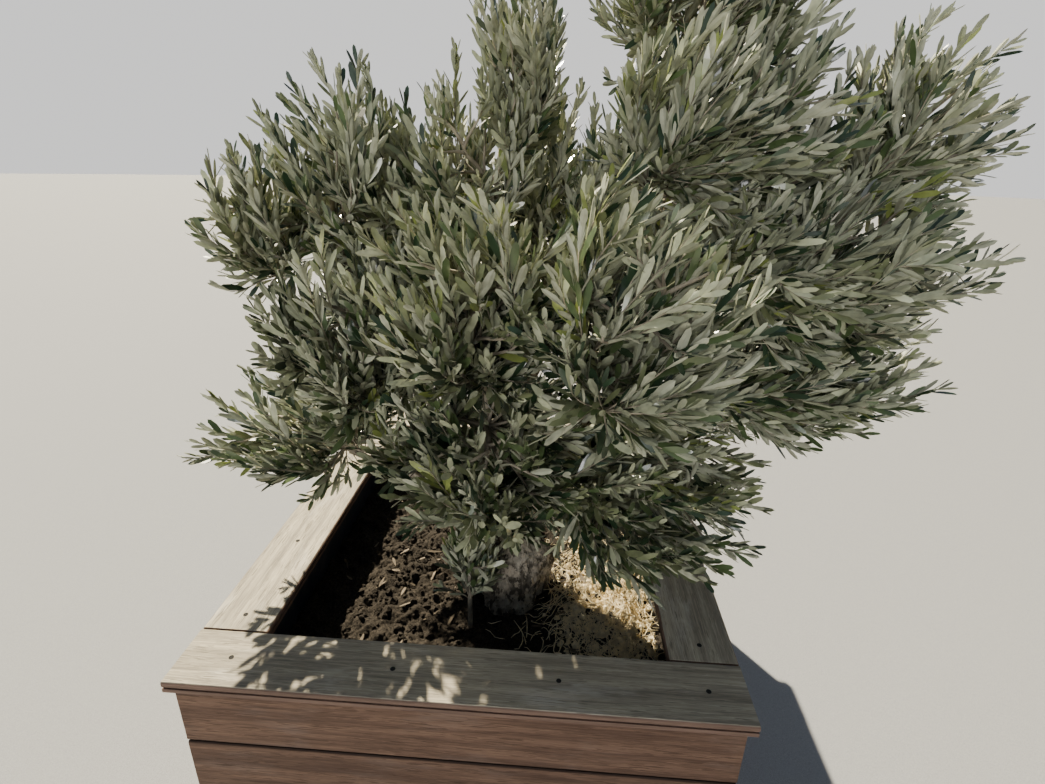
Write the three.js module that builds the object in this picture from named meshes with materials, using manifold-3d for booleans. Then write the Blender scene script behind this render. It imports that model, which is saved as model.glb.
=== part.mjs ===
// An olive tree in a rectangular timber planter, in millimetres, with +Z up.
// The origin is the centre of the planter's flat underside. +X runs to the right along the front, and +Y to
// the back. The planter is a boarded tub of soil. On it stand a stout trunk, the boughs, and the masses of
// foliage that they carry. Each mass keeps to its own space, and its twigs and leaves grow from one stem by a
// seeded rule.
import * as THREE from 'three';
import { mergeVertices } from 'three/addons/utils/BufferGeometryUtils.js';
import Module from 'manifold-3d';

const wasm = await Module();
wasm.setup();

// Planter sizes
const PLANTER = { width: 1155, depth: 1370, height: 674 };
const CAP = { width: 145, thickness: 28, joint: 3, edge: 3, groove: 5, grooveDepth: 6 };
const BOARD = { height: 140, thickness: 26, gap: 4, edge: 3, rows: 4, ripped: 60 };
const CAP_OVERHANG = 14;
const CAP_SHADOW_GAP = 6;
const TUB_WALL = 68;
const TUB_FLOOR = 60;
const SOIL_BELOW_RIM = 150;
const SOIL_TOP = PLANTER.height - SOIL_BELOW_RIM;
const CLEAR = 0.3;

// Trunk sizes. Flare and burls are shares of the radius, and a way along the trunk runs from 0 to 1.
const TRUNK = {
  foot: [76, -185],
  height: 262,
  lean: [-22, 26],
  radius: 84,
  headRadius: 54,
  thinning: 1.15,
  flare: { size: 0.1, fade: 3, even: 0.7, ridge: 0.5, ridges: 5, turn: 0.8 },
  burls: [
    { size: 0.1, lobes: 2, twist: 7, turn: 0 },
    { size: 0.06, lobes: 3, twist: -9, turn: 1 },
  ],
  belly: { size: 0.36, at: 0.38, spread: 0.27 },
  dome: { from: 0.8, length: 0.22 },
  bulge: 1.1,
  sides: 14,
  steps: 10,
};

// Boughs: the limb that each one leaves, how far up it, its thickness at both ends, and the masses it feeds
const BOUGHS = {
  left_bough: { parent: 'trunk', at: 0.84, thick: 52, thin: 22, feeds: ['left_top', 'left_upper'] },
  centre_bough: { parent: 'trunk', at: 0.9, thick: 50, thin: 22, feeds: ['centre_top', 'spire'] },
  right_bough: { parent: 'trunk', at: 0.8, thick: 54, thin: 22, feeds: ['right_top'] },
  back_bough: { parent: 'trunk', at: 0.82, thick: 46, thin: 20, feeds: ['back_centre'] },
  front_bough: { parent: 'trunk', at: 0.78, thick: 36, thin: 18, feeds: ['centre_front', 'low_front'] },
  low_left_bough: { parent: 'trunk', at: 0.68, thick: 30, thin: 14, feeds: ['left_low'] },
  low_right_bough: { parent: 'trunk', at: 0.66, thick: 30, thin: 14, feeds: ['low_right'] },
  left_middle_bough: { parent: 'left_bough', at: 0.42, thick: 26, thin: 14, feeds: ['left_middle'] },
  back_left_bough: { parent: 'back_bough', at: 0.3, thick: 30, thin: 16, feeds: ['back_left'] },
  back_right_bough: { parent: 'back_bough', at: 0.4, thick: 30, thin: 16, feeds: ['back_right'] },
  front_right_bough: { parent: 'right_bough', at: 0.3, thick: 28, thin: 16, feeds: ['front_right'] },
  right_side_bough: {
    parent: 'right_bough', at: 0.5, thick: 32, thin: 18, feeds: ['right_tip', 'right_middle'],
  },
  right_low_bough: { parent: 'right_bough', at: 0.36, thick: 28, thin: 14, feeds: ['right_low'] },
  summit_bough: { parent: 'right_bough', at: 0.74, thick: 30, thin: 18, feeds: ['summit'] },
};
// How boughs run: the upward and outward parts of the way off the trunk, the part along the parent off another
// bough, and how far short of a space's centre the tip stops, as a share of the space's reach
const BOUGH = {
  sides: 6,
  step: 120,
  leastSteps: 4,
  rise: 0.8,
  out: 0.6,
  along: 0.6,
  short: 0.6,
  sway: 0.04,
  taperPower: 0.8,
};
// The handles of a limb's curve, as shares of its span, and the waves of its sway
const BEND = { out: 0.38, home: 0.3, waves: 1.5 };
const BALLS_APART = 12;

// Masses of foliage: the centre and the half sizes of each one's space, and the way that its shoots grow
const MASSES = {
  left_upper: { centre: [-500, -190, 1500], half: [140, 200, 180], growth: [-0.35, -0.1, 1] },
  left_top: { centre: [-320, -110, 1600], half: [185, 250, 215], growth: [-0.1, 0, 1] },
  left_middle: { centre: [-250, -330, 1290], half: [205, 240, 225], growth: [-0.2, -0.4, 1] },
  left_low: { centre: [-440, -220, 1020], half: [260, 220, 145], growth: [-0.6, -0.3, 0.8] },
  centre_top: { centre: [-60, -100, 1610], half: [170, 250, 230], growth: [0, -0.05, 1] },
  centre_front: { centre: [15, -500, 1410], half: [200, 215, 205], growth: [0, -0.45, 1] },
  low_front: { centre: [40, -450, 1090], half: [250, 210, 205], growth: [0.1, -0.8, 0.5] },
  spire: { centre: [50, 60, 1820], half: [115, 220, 270], growth: [0.02, 0, 1] },
  summit: { centre: [460, 20, 1990], half: [240, 270, 240], growth: [0.35, 0, 1] },
  right_top: { centre: [490, -220, 1700], half: [260, 260, 240], growth: [0.62, -0.1, 0.85] },
  front_right: { centre: [300, -550, 1400], half: [210, 215, 235], growth: [0.6, -0.4, 0.95] },
  right_tip: { centre: [890, -100, 1725], half: [170, 230, 205], growth: [0.75, 0, 0.8] },
  right_middle: { centre: [690, -290, 1470], half: [290, 250, 200], growth: [0.9, -0.1, 0.6] },
  right_low: { centre: [700, -200, 1210], half: [300, 230, 165], growth: [1, -0.1, 0.35] },
  low_right: { centre: [395, -330, 945], half: [240, 240, 230], growth: [0.8, -0.5, 0.1] },
  back_left: { centre: [-270, 200, 1310], half: [290, 300, 360], growth: [-0.45, 0.5, 0.8] },
  back_centre: { centre: [200, 325, 1480], half: [320, 355, 360], growth: [0.1, 0.7, 0.9] },
  back_right: { centre: [620, 250, 1370], half: [310, 310, 360], growth: [0.7, 0.6, 0.7] },
  foot_shoot: { centre: [-20, -330, 780], half: [90, 90, 170], growth: [0, 0, 1] },
};
const SPACE_MARGIN = 2.5;
const LIMB_MARGIN = 2;
// A stem runs past its space's centre by a share of the reach
const STEM = { thick: 13, thin: 8, sides: 4, step: 120, leastSteps: 2, past: 0.3, sway: 0.03 };
// A twig leaves the stem between two ways along it, ahead of its goal by a share of the distance aside
const TWIG = {
  thick: 9,
  thin: 5,
  sides: 3,
  step: 140,
  shortest: 50,
  sway: 0.03,
  first: 0.12,
  last: 0.96,
  ahead: 0.7,
  along: 0.5,
  upturn: 0.9,
  checks: 8,
  checkFrom: 0.2,
  rootShare: 0.3,
};
const LEAF = {
  length: 165,
  width: 58,
  thickness: 5,
  sunk: 1.6,
  tipSunk: 14,
  rootShare: 0.2,
  angle: 0.95,
  angleFrom: 0.85,
  angleRange: 0.3,
  whorls: [0.78],
  sizes: [1, 0.85, 0.7, 0.55, 0.42],
  leastOnTwig: 3,
  inAll: 412,
};
// Places along a leaf that are kept off the limbs, each by a share of the leaf's width
const LEAF_CHECKS = [
  { along: 0.25, room: 0.25 },
  { along: 0.5, room: 0.5 },
  { along: 0.75, room: 0.25 },
  { along: 1, room: 0 },
];
const GOAL = { apart: 105, tries: 160, from: 0.36, to: 0.72 };
// The root of x to the fourth = x + 1, whose powers step points evenly through a cube
const EVEN_STEP = 1.2207440846;
const SEED = { trunk: 1, boughs: 101, stems: 201, masses: 301 };

const UP = new THREE.Vector3(0, 0, 1);
const MERGED_WITHIN = 1e-4;
const ON_AXIS = 1e-6;

const FINISH = {
  cap: { color: 0xb3a797, roughness: 0.85, metalness: 0 },
  board: { color: 0x8a6248, roughness: 0.8, metalness: 0 },
  tub: { color: 0x1d2630, roughness: 0.7, metalness: 0 },
  soil: { color: 0x4a3a2c, roughness: 1, metalness: 0 },
  bark: { color: 0x5a5048, roughness: 0.95, metalness: 0 },
  leaf: { color: 0x6d7a5c, roughness: 0.55, metalness: 0 },
};

const tree = new THREE.Group();
const vector = (values) => new THREE.Vector3(...values);

function addPiece(name, geometry, finish) {
  const piece = new THREE.Mesh(geometry, new THREE.MeshStandardMaterial(FINISH[finish]));
  piece.name = name;
  tree.add(piece);
  return piece;
}

// Random numbers from 0 to 1 that are the same on every run
function seededRandom(seed) {
  let state = seed >>> 0;
  return () => {
    state = (state + 0x6d2b79f5) >>> 0;
    let mixed = Math.imul(state ^ (state >>> 15), 1 | state);
    mixed = (mixed + Math.imul(mixed ^ (mixed >>> 7), 61 | mixed)) ^ mixed;
    return ((mixed ^ (mixed >>> 14)) >>> 0) / 2 ** 32;
  };
}

// Joins and cuts

function toSolid(geometry) {
  const plain = geometry.clone();
  plain.deleteAttribute('normal');
  plain.deleteAttribute('uv');
  const merged = mergeVertices(plain, MERGED_WITHIN);
  const mesh = new wasm.Mesh({
    numProp: 3,
    vertProperties: new Float32Array(merged.attributes.position.array),
    triVerts: new Uint32Array(merged.index.array),
  });
  return new wasm.Manifold(mesh);
}

function toGeometry(solid) {
  const { numProp, vertProperties, triVerts } = solid.getMesh();
  const points = new Float32Array((vertProperties.length / numProp) * 3);
  for (let i = 0; i < points.length / 3; i++) {
    points.set(vertProperties.subarray(i * numProp, i * numProp + 3), i * 3);
  }
  const geometry = new THREE.BufferGeometry();
  geometry.setAttribute('position', new THREE.BufferAttribute(points, 3));
  geometry.setIndex(new THREE.BufferAttribute(new Uint32Array(triVerts), 1));
  geometry.computeVertexNormals();
  return geometry;
}

// The largest body of a solid, which drops loose scraps and fills sealed hollows
function largestBody(solid) {
  return solid.decompose().reduce((best, body) => (body.volume() > best.volume() ? body : best));
}

// Planter

// A board lies along X, with its outline in Y and Z. Its corners are eased. A cap has a slot in both edges.
function boardGeometry(length, width, thickness, edge, slot = null) {
  const y = width / 2;
  const z = thickness / 2;
  const half = [[y - edge, -z], [y, -z + edge]];
  if (slot) {
    half.push([y, -slot.groove / 2], [y - slot.grooveDepth, -slot.groove / 2]);
    half.push([y - slot.grooveDepth, slot.groove / 2], [y, slot.groove / 2]);
  }
  half.push([y, z - edge], [y - edge, z]);
  const outline = [...half, ...half.map(([a, b]) => [-a, -b])];
  const shape = new THREE.Shape(outline.map(([a, b]) => new THREE.Vector2(a, b)));
  const geometry = new THREE.ExtrudeGeometry(shape, { depth: length, bevelEnabled: false });
  geometry.translate(0, 0, -length / 2);
  return geometry.applyMatrix4(new THREE.Matrix4().makeBasis(
    new THREE.Vector3(0, 1, 0), new THREE.Vector3(0, 0, 1), new THREE.Vector3(1, 0, 0)));
}

function addBoard(name, geometry, finish, x, y, z, turned) {
  const piece = addPiece(name, turned ? geometry.rotateZ(Math.PI / 2) : geometry, finish);
  piece.position.set(x, y, z);
}

function addCaps() {
  const z = PLANTER.height - CAP.thickness / 2;
  const x = (PLANTER.width - CAP.width) / 2;
  const y = (PLANTER.depth - CAP.width) / 2;
  const sideLength = PLANTER.depth - 2 * (CAP.width + CAP.joint);
  const cap = (length) => boardGeometry(length, CAP.width, CAP.thickness, CAP.edge, CAP);
  addBoard('cap_front', cap(PLANTER.width), 'cap', 0, -y, z, false);
  addBoard('cap_back', cap(PLANTER.width), 'cap', 0, y, z, false);
  addBoard('cap_left', cap(sideLength), 'cap', -x, 0, z, true);
  addBoard('cap_right', cap(sideLength), 'cap', x, 0, z, true);
}

function addSideBoards() {
  const x = PLANTER.width / 2 - CAP_OVERHANG - BOARD.thickness / 2;
  const y = PLANTER.depth / 2 - CAP_OVERHANG - BOARD.thickness / 2;
  const frontLength = PLANTER.width - 2 * CAP_OVERHANG;
  const sideLength = PLANTER.depth - 2 * (CAP_OVERHANG + BOARD.thickness + CLEAR);
  let top = PLANTER.height - CAP.thickness - CAP_SHADOW_GAP;
  for (let row = 1; row <= BOARD.rows + 1; row++) {
    const height = row > BOARD.rows ? BOARD.ripped : BOARD.height;
    const z = top - height / 2;
    const board = (length) => boardGeometry(length, BOARD.thickness, height, BOARD.edge);
    addBoard(`board_front_${row}`, board(frontLength), 'board', 0, -y, z, false);
    addBoard(`board_back_${row}`, board(frontLength), 'board', 0, y, z, false);
    addBoard(`board_left_${row}`, board(sideLength), 'board', -x, 0, z, true);
    addBoard(`board_right_${row}`, board(sideLength), 'board', x, 0, z, true);
    top -= height + BOARD.gap;
  }
}

function addTubAndSoil() {
  const inset = CAP_OVERHANG + BOARD.thickness + CLEAR;
  const width = PLANTER.width - 2 * inset;
  const depth = PLANTER.depth - 2 * inset;
  const height = PLANTER.height - CAP.thickness - CLEAR;
  const outside = new THREE.BoxGeometry(width, depth, height).translate(0, 0, height / 2);
  const hollow = new THREE.BoxGeometry(width - 2 * TUB_WALL, depth - 2 * TUB_WALL, height)
    .translate(0, 0, height / 2 + TUB_FLOOR);
  addPiece('tub', toGeometry(toSolid(outside).subtract(toSolid(hollow))), 'tub');
  const soilHeight = SOIL_TOP - TUB_FLOOR - CLEAR;
  const soilInset = 2 * (TUB_WALL + CLEAR);
  const soil = new THREE.BoxGeometry(width - soilInset, depth - soilInset, soilHeight);
  addPiece('soil', soil, 'soil').position.z = SOIL_TOP - soilHeight / 2;
}

// Limbs

// A limb leaves its start one way and meets its end another, on a cubic curve that sways a little on the way
class LimbCurve extends THREE.Curve {
  constructor(start, startWay, end, endWay, sway, seed) {
    super();
    const span = start.distanceTo(end);
    this.curve = new THREE.CubicBezierCurve3(
      start,
      start.clone().addScaledVector(startWay, span * BEND.out),
      end.clone().addScaledVector(endWay, -span * BEND.home),
      end,
    );
    const random = seededRandom(seed);
    const across = new THREE.Vector3().crossVectors(end.clone().sub(start), UP).normalize();
    const turn = random() * Math.PI * 2;
    this.swayWay = across.applyAxisAngle(end.clone().sub(start).normalize(), turn);
    this.swaySize = span * sway;
    this.swayPhase = random();
  }

  getPoint(t, target = new THREE.Vector3()) {
    const wave = Math.sin(2 * Math.PI * (BEND.waves * t + this.swayPhase));
    const size = this.swaySize * Math.sin(Math.PI * t) ** 2 * wave;
    return this.curve.getPoint(t, target).addScaledVector(this.swayWay, size);
  }
}

// A closed tube along a curve: a cylinder of unit size bent along it, with its radius worked out by step.
// radiusAt takes the way along the curve, from 0 to 1, and the angle round it.
function tubeGeometry(curve, radiusAt, sides, steps) {
  const geometry = new THREE.CylinderGeometry(1, 1, 1, sides, steps);
  const frames = curve.computeFrenetFrames(steps, false);
  const position = geometry.attributes.position;
  for (let i = 0; i < position.count; i++) {
    const step = Math.round((position.getY(i) + 0.5) * steps);
    const way = step / steps;
    const angle = Math.atan2(position.getZ(i), position.getX(i));
    const inside = Math.hypot(position.getX(i), position.getZ(i)) < ON_AXIS;
    const radius = inside ? 0 : radiusAt(way, angle);
    const point = curve.getPointAt(way)
      .addScaledVector(frames.normals[step], radius * Math.cos(angle))
      .addScaledVector(frames.binormals[step], -radius * Math.sin(angle));
    position.setXYZ(i, point.x, point.y, point.z);
  }
  return geometry;
}

const taper = (thick, thin, power = 1) => (way) => (thick + (thin - thick) * way ** power) / 2;

// A limb is kept as a chain of balls too, which twigs and leaves stay clear of
function limbChain(curve, radiusAt) {
  const count = Math.ceil(curve.getLength() / BALLS_APART);
  return Array.from({ length: count + 1 }, (_, i) => {
    const way = i / count;
    return { point: curve.getPointAt(way), radius: radiusAt(way) };
  });
}

const limbs = {};

// The trunk swells into root flares at the soil, has a belly and burls above them, and a domed head
function trunkRadius(way, angle, grow = 0) {
  const { flare, burls, belly, dome } = TRUNK;
  const body = THREE.MathUtils.lerp(TRUNK.radius, TRUNK.headRadius, Math.min(1, way * TRUNK.thinning));
  const ridge = flare.even + flare.ridge * Math.cos(flare.ridges * angle + flare.turn);
  const root = flare.size * (1 - way) ** flare.fade * ridge;
  const burl = ({ size, lobes, twist, turn }) => size * Math.sin(lobes * angle + twist * way + turn);
  const head = Math.sqrt(Math.max(0, 1 - Math.max(0, (way - dome.from) / dome.length) ** 2));
  const round = belly.size * Math.exp(-(((way - belly.at) / belly.spread) ** 2));
  return body * burls.reduce((sum, swell) => sum + burl(swell), 1 + root + round) * head + grow;
}

function addTrunk() {
  const [x, y] = TRUNK.foot;
  const [leanX, leanY] = TRUNK.lean;
  const foot = new THREE.Vector3(x, y, SOIL_TOP + CLEAR);
  const head = new THREE.Vector3(x + leanX, y + leanY, SOIL_TOP + TRUNK.height);
  const curve = new LimbCurve(foot, UP, head, UP, 0, SEED.trunk);
  const tube = (grow) => tubeGeometry(
    curve, (way, angle) => trunkRadius(way, angle, grow), TRUNK.sides, TRUNK.steps);
  addPiece('trunk', tube(0), 'bark');
  const balls = limbChain(curve, (way) => trunkRadius(way, 0) * TRUNK.bulge);
  limbs.trunk = { curve, balls, grown: toSolid(tube(2 * CLEAR)) };
}

// How far a space reaches from its centre in one direction
function reachOf(mass, way) {
  const [a, b, c] = mass.half;
  return 1 / Math.hypot(way.x / a, way.y / b, way.z / c);
}

// A bough leaves the trunk steeply, or turns out of another bough
function boughStartWay(bough, parentCurve, way) {
  if (bough.parent === 'trunk') {
    const level = new THREE.Vector3(way.x, way.y, 0).normalize();
    return level.multiplyScalar(BOUGH.out).addScaledVector(UP, BOUGH.rise).normalize();
  }
  const along = parentCurve.getTangentAt(bough.at).multiplyScalar(BOUGH.along);
  return along.addScaledVector(way, BOUGH.out).normalize();
}

// A bough ends a little inside the space of the masses that it feeds
function addBough(name, bough, seed) {
  const parent = limbs[bough.parent];
  const start = parent.curve.getPointAt(bough.at);
  const fed = bough.feeds.map((mass) => MASSES[mass]);
  const goal = new THREE.Vector3();
  fed.forEach((mass) => goal.addScaledVector(vector(mass.centre), 1 / fed.length));
  const way = goal.clone().sub(start).normalize();
  const reach = fed.reduce((sum, mass) => sum + reachOf(mass, way) / fed.length, 0);
  const tip = goal.clone().addScaledVector(way, -BOUGH.short * reach);
  const curve = new LimbCurve(start, boughStartWay(bough, parent.curve, way), tip, way, BOUGH.sway, seed);
  const steps = Math.max(BOUGH.leastSteps, Math.round(curve.getLength() / BOUGH.step));
  const radiusAt = taper(bough.thick, bough.thin, BOUGH.taperPower);
  const tube = (grow) => toSolid(tubeGeometry(curve, (t) => radiusAt(t) + grow, BOUGH.sides, steps));
  let solid = tube(0);
  Object.values(limbs).forEach((limb) => {
    solid = solid.subtract(limb.grown);
  });
  addPiece(name, toGeometry(largestBody(solid)), 'bark');
  limbs[name] = { curve, balls: limbChain(curve, radiusAt), grown: tube(2 * CLEAR) };
}

// Foliage

// The flat walls that part one space from its neighbours, each set where the two spaces reach equally far
function wallsOf(name) {
  const mass = MASSES[name];
  const centre = vector(mass.centre);
  return Object.keys(MASSES).filter((other) => other !== name).map((other) => {
    const way = vector(MASSES[other].centre).sub(centre);
    const gap = way.length();
    way.normalize();
    const share = reachOf(mass, way) / (reachOf(mass, way) + reachOf(MASSES[other], way));
    return { way, distance: way.dot(centre) + gap * share };
  });
}

function makeSpace(name) {
  const { centre, half } = MASSES[name];
  const walls = wallsOf(name);
  return (point, margin = 0) => {
    const shares = point.toArray().map((value, i) => (value - centre[i]) / (half[i] - margin));
    const kept = margin + SPACE_MARGIN;
    return Math.hypot(...shares) <= 1 && walls.every(({ way, distance }) => way.dot(point) <= distance - kept);
  };
}

// True if a ball at the point stays off every limb except its own stem
function clearOfLimbs(point, radius, ownStem) {
  return Object.entries(limbs).every(([name, limb]) => name === ownStem
    || limb.balls.every((ball) => ball.point.distanceTo(point) > ball.radius + radius + LIMB_MARGIN));
}

const growthWay = (mass) => vector(mass.growth).normalize();

// The stem starts clear of the bough's tip, beside the other stem where the bough feeds two masses
function layStem(name, seed) {
  const mass = MASSES[name];
  const centre = vector(mass.centre);
  const [boughName, bough] = Object.entries(BOUGHS).find(([, entry]) => entry.feeds.includes(name)) ?? [];
  let start = new THREE.Vector3(mass.centre[0], mass.centre[1], SOIL_TOP + CLEAR);
  let startWay = UP;
  if (bough) {
    const { curve } = limbs[boughName];
    startWay = curve.getTangentAt(1);
    start = curve.getPointAt(1).addScaledVector(startWay, CLEAR);
    if (bough.feeds.length > 1) {
      const other = vector(MASSES[bough.feeds.find((entry) => entry !== name)].centre);
      const aside = centre.clone().sub(other);
      aside.addScaledVector(startWay, -aside.dot(startWay)).normalize();
      start.addScaledVector(aside, STEM.thick / 2 + CLEAR);
    }
  }
  const growth = growthWay(mass);
  const end = centre.addScaledVector(growth, STEM.past * reachOf(mass, growth));
  const curve = new LimbCurve(start, startWay, end, growth, STEM.sway, seed);
  const radiusAt = taper(STEM.thick, STEM.thin);
  limbs[`${name}_stem`] = { curve, balls: limbChain(curve, radiusAt), radiusAt };
}

// Points spread evenly through a ball of size 1, from the sequence whose steps are powers of one number
function evenPoints(count, random) {
  const shift = [random(), random(), random()];
  const points = [];
  for (let i = 1; points.length < count; i++) {
    const [x, y, z] = shift.map((start, axis) => 2 * ((start + i / EVEN_STEP ** (axis + 1)) % 1) - 1);
    if (Math.hypot(x, y, z) < 1) points.push(new THREE.Vector3(x, y, z));
  }
  return points;
}

// A leaf is an octahedron drawn out flat, from its sunk root to its tip
function leafGeometry(root, way, face, length, width, thickness) {
  const across = new THREE.Vector3().crossVectors(way, face).normalize();
  const flat = new THREE.Vector3().crossVectors(across, way);
  const geometry = new THREE.OctahedronGeometry(1);
  geometry.scale(width / 2, length / 2, thickness / 2);
  geometry.translate(0, length / 2, 0);
  return geometry.applyMatrix4(new THREE.Matrix4().makeBasis(across, way, flat).setPosition(root));
}

// The blade of a leaf past its root, at twice its thickness, which has to miss all that the mass already has
function bladeSolid(root, way, face, length, width) {
  const start = root.clone().addScaledVector(way, LEAF.rootShare * length);
  return toSolid(leafGeometry(start, way, face, (1 - LEAF.rootShare) * length, width, 2 * LEAF.thickness));
}

// The first of the leaf's sizes that stays in the space and touches nothing, or null
function fittingLeaf(root, way, face, place) {
  const across = new THREE.Vector3().crossVectors(way, face).normalize();
  for (const size of LEAF.sizes) {
    const length = size * LEAF.length;
    const width = size * LEAF.width;
    const pointAt = (along) => root.clone().addScaledVector(way, length * along);
    const corners = [-width / 2, width / 2].map((side) => pointAt(0.5).addScaledVector(across, side));
    const fits = [pointAt(1), ...corners].every((point) => place.inSpace(point))
      && LEAF_CHECKS.every(({ along, room }) => clearOfLimbs(pointAt(along), room * width, place.stem))
      && bladeSolid(root, way, face, length, width).intersect(place.solid).isEmpty();
    if (fits) return toSolid(leafGeometry(root, way, face, length, width, LEAF.thickness));
  }
  return null;
}

const twigSteps = (curve) => Math.max(1, Math.round(curve.getLength() / TWIG.step));
const twigSolid = (curve, radiusAt) => toSolid(tubeGeometry(curve, radiusAt, TWIG.sides, twigSteps(curve)));

// A place on the straight run between two steps of a twig, with the ways out through its flat faces' middles
function placeOnTwig(curve, way) {
  const { sides } = TWIG;
  const steps = twigSteps(curve);
  const frames = curve.computeFrenetFrames(steps, false);
  const low = Math.min(steps - 1, Math.floor(way * steps));
  const share = way * steps - low;
  const from = curve.getPointAt(low / steps);
  const to = curve.getPointAt((low + 1) / steps);
  const tangent = to.clone().sub(from).normalize();
  const normal = frames.normals[low].clone().lerp(frames.normals[low + 1], share);
  normal.addScaledVector(tangent, -normal.dot(tangent)).normalize();
  const binormal = new THREE.Vector3().crossVectors(tangent, normal);
  const outWays = Array.from({ length: sides }, (_, i) => {
    const angle = Math.PI / 2 - ((i + 0.5) * 2 * Math.PI) / sides;
    return normal.clone().multiplyScalar(Math.cos(angle)).addScaledVector(binormal, -Math.sin(angle));
  });
  return { point: from.lerp(to, share), tangent, outWays };
}

// Leaves stand in whorls, one leaf out of each face of the twig, with one more at the twig's tip
function growLeaves(curve, place, random) {
  let count = 0;
  const grow = ({ point, tangent }, out, angle, sunk) => {
    const way = tangent.clone().multiplyScalar(Math.cos(angle)).addScaledVector(out, Math.sin(angle));
    const root = point.clone().addScaledVector(way, -sunk);
    const leaf = fittingLeaf(root, way, angle > 0 ? tangent : out, place);
    if (!leaf) return;
    place.solid = place.solid.add(leaf);
    count += 1;
  };
  const tip = placeOnTwig(curve, 1);
  grow(tip, tip.outWays[0], 0, LEAF.tipSunk);
  for (const share of LEAF.whorls) {
    const node = placeOnTwig(curve, share);
    node.outWays.forEach((out) => {
      const angle = LEAF.angle * (LEAF.angleFrom + LEAF.angleRange * random());
      grow(node, out, angle, LEAF.sunk);
    });
  }
  return count;
}

// A twig leaves the stem ahead of the goal that it makes for, and ends along the mass's growth
function twigTo(goal, stemCurve, growth, seed) {
  const foot = stemCurve.getPointAt(0);
  const span = stemCurve.getLength();
  const ahead = goal.clone().sub(foot).dot(stemCurve.getPointAt(1).sub(foot).normalize());
  const aside = Math.sqrt(Math.max(0, goal.distanceToSquared(foot) - ahead * ahead));
  const at = THREE.MathUtils.clamp((ahead - TWIG.ahead * aside) / span, TWIG.first, TWIG.last);
  const start = stemCurve.getPointAt(at);
  const straight = goal.clone().sub(start).normalize();
  const startWay = stemCurve.getTangentAt(at).multiplyScalar(TWIG.along).add(straight).normalize();
  const endWay = straight.clone().addScaledVector(growth, TWIG.upturn).normalize();
  return new LimbCurve(start, startWay, goal, endWay, TWIG.sway, seed);
}

// True if a twig past its root stays in the space, off every limb and off all that the mass already has
function twigFits(curve, place) {
  const points = Array.from({ length: TWIG.checks + 1 }, (_, i) => (
    curve.getPointAt(THREE.MathUtils.lerp(TWIG.checkFrom, 1, i / TWIG.checks))));
  const outer = new THREE.LineCurve3(curve.getPointAt(TWIG.rootShare), curve.getPointAt(1));
  return points.every((point) => place.inSpace(point, TWIG.thick / 2))
    && points.every((point) => clearOfLimbs(point, TWIG.thick / 2, place.stem))
    && twigSolid(outer, () => TWIG.thick).intersect(place.solid).isEmpty();
}

// Twigs are tried towards goals spread through the space until the mass has its share of leaves
function growMass(name, seed, wanted) {
  const mass = MASSES[name];
  const growth = growthWay(mass);
  const random = seededRandom(seed);
  const stem = `${name}_stem`;
  const { curve: stemCurve, radiusAt } = limbs[stem];
  const stemSteps = Math.max(STEM.leastSteps, Math.round(stemCurve.getLength() / STEM.step));
  const stemSolid = toSolid(tubeGeometry(stemCurve, radiusAt, STEM.sides, stemSteps));
  const place = { stem, inSpace: makeSpace(name), solid: stemSolid };
  const goals = [];
  let leafCount = 0;
  for (const [index, out] of evenPoints(GOAL.tries, random).entries()) {
    if (leafCount >= wanted) break;
    const goal = out.setLength(THREE.MathUtils.lerp(GOAL.from, GOAL.to, out.length()))
      .multiply(vector(mass.half)).add(vector(mass.centre));
    if (goals.some((other) => other.distanceTo(goal) < GOAL.apart)) continue;
    const curve = twigTo(goal, stemCurve, growth, seed + index);
    if (curve.getLength() < TWIG.shortest || !twigFits(curve, place)) continue;
    const before = place.solid;
    place.solid = before.add(twigSolid(curve, taper(TWIG.thick, TWIG.thin)));
    const grown = growLeaves(curve, place, random);
    if (grown < LEAF.leastOnTwig) {
      place.solid = before;
      continue;
    }
    goals.push(goal);
    leafCount += grown;
  }
  addPiece(`${name}_foliage`, toGeometry(largestBody(place.solid)), 'leaf');
}

addCaps();
addSideBoards();
addTubAndSoil();
addTrunk();
Object.entries(BOUGHS).forEach(([name, bough], index) => addBough(name, bough, SEED.boughs + index));
Object.keys(MASSES).forEach((name, index) => layStem(name, SEED.stems + index));

// Each mass's share of the leaves goes by the surface of its space
const roomOf = ({ half: [a, b, c] }) => (a * b * c) ** (2 / 3);
const roomInAll = Object.values(MASSES).reduce((sum, mass) => sum + roomOf(mass), 0);
Object.entries(MASSES).forEach(([name, mass], index) => {
  const wanted = Math.round((LEAF.inAll * roomOf(mass)) / roomInAll);
  growMass(name, SEED.masses + index, wanted);
});

export default tree;
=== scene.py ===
"""An olive tree in a rectangular timber planter, finished around the fixed frame. Lengths are in metres."""
import math

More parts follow.
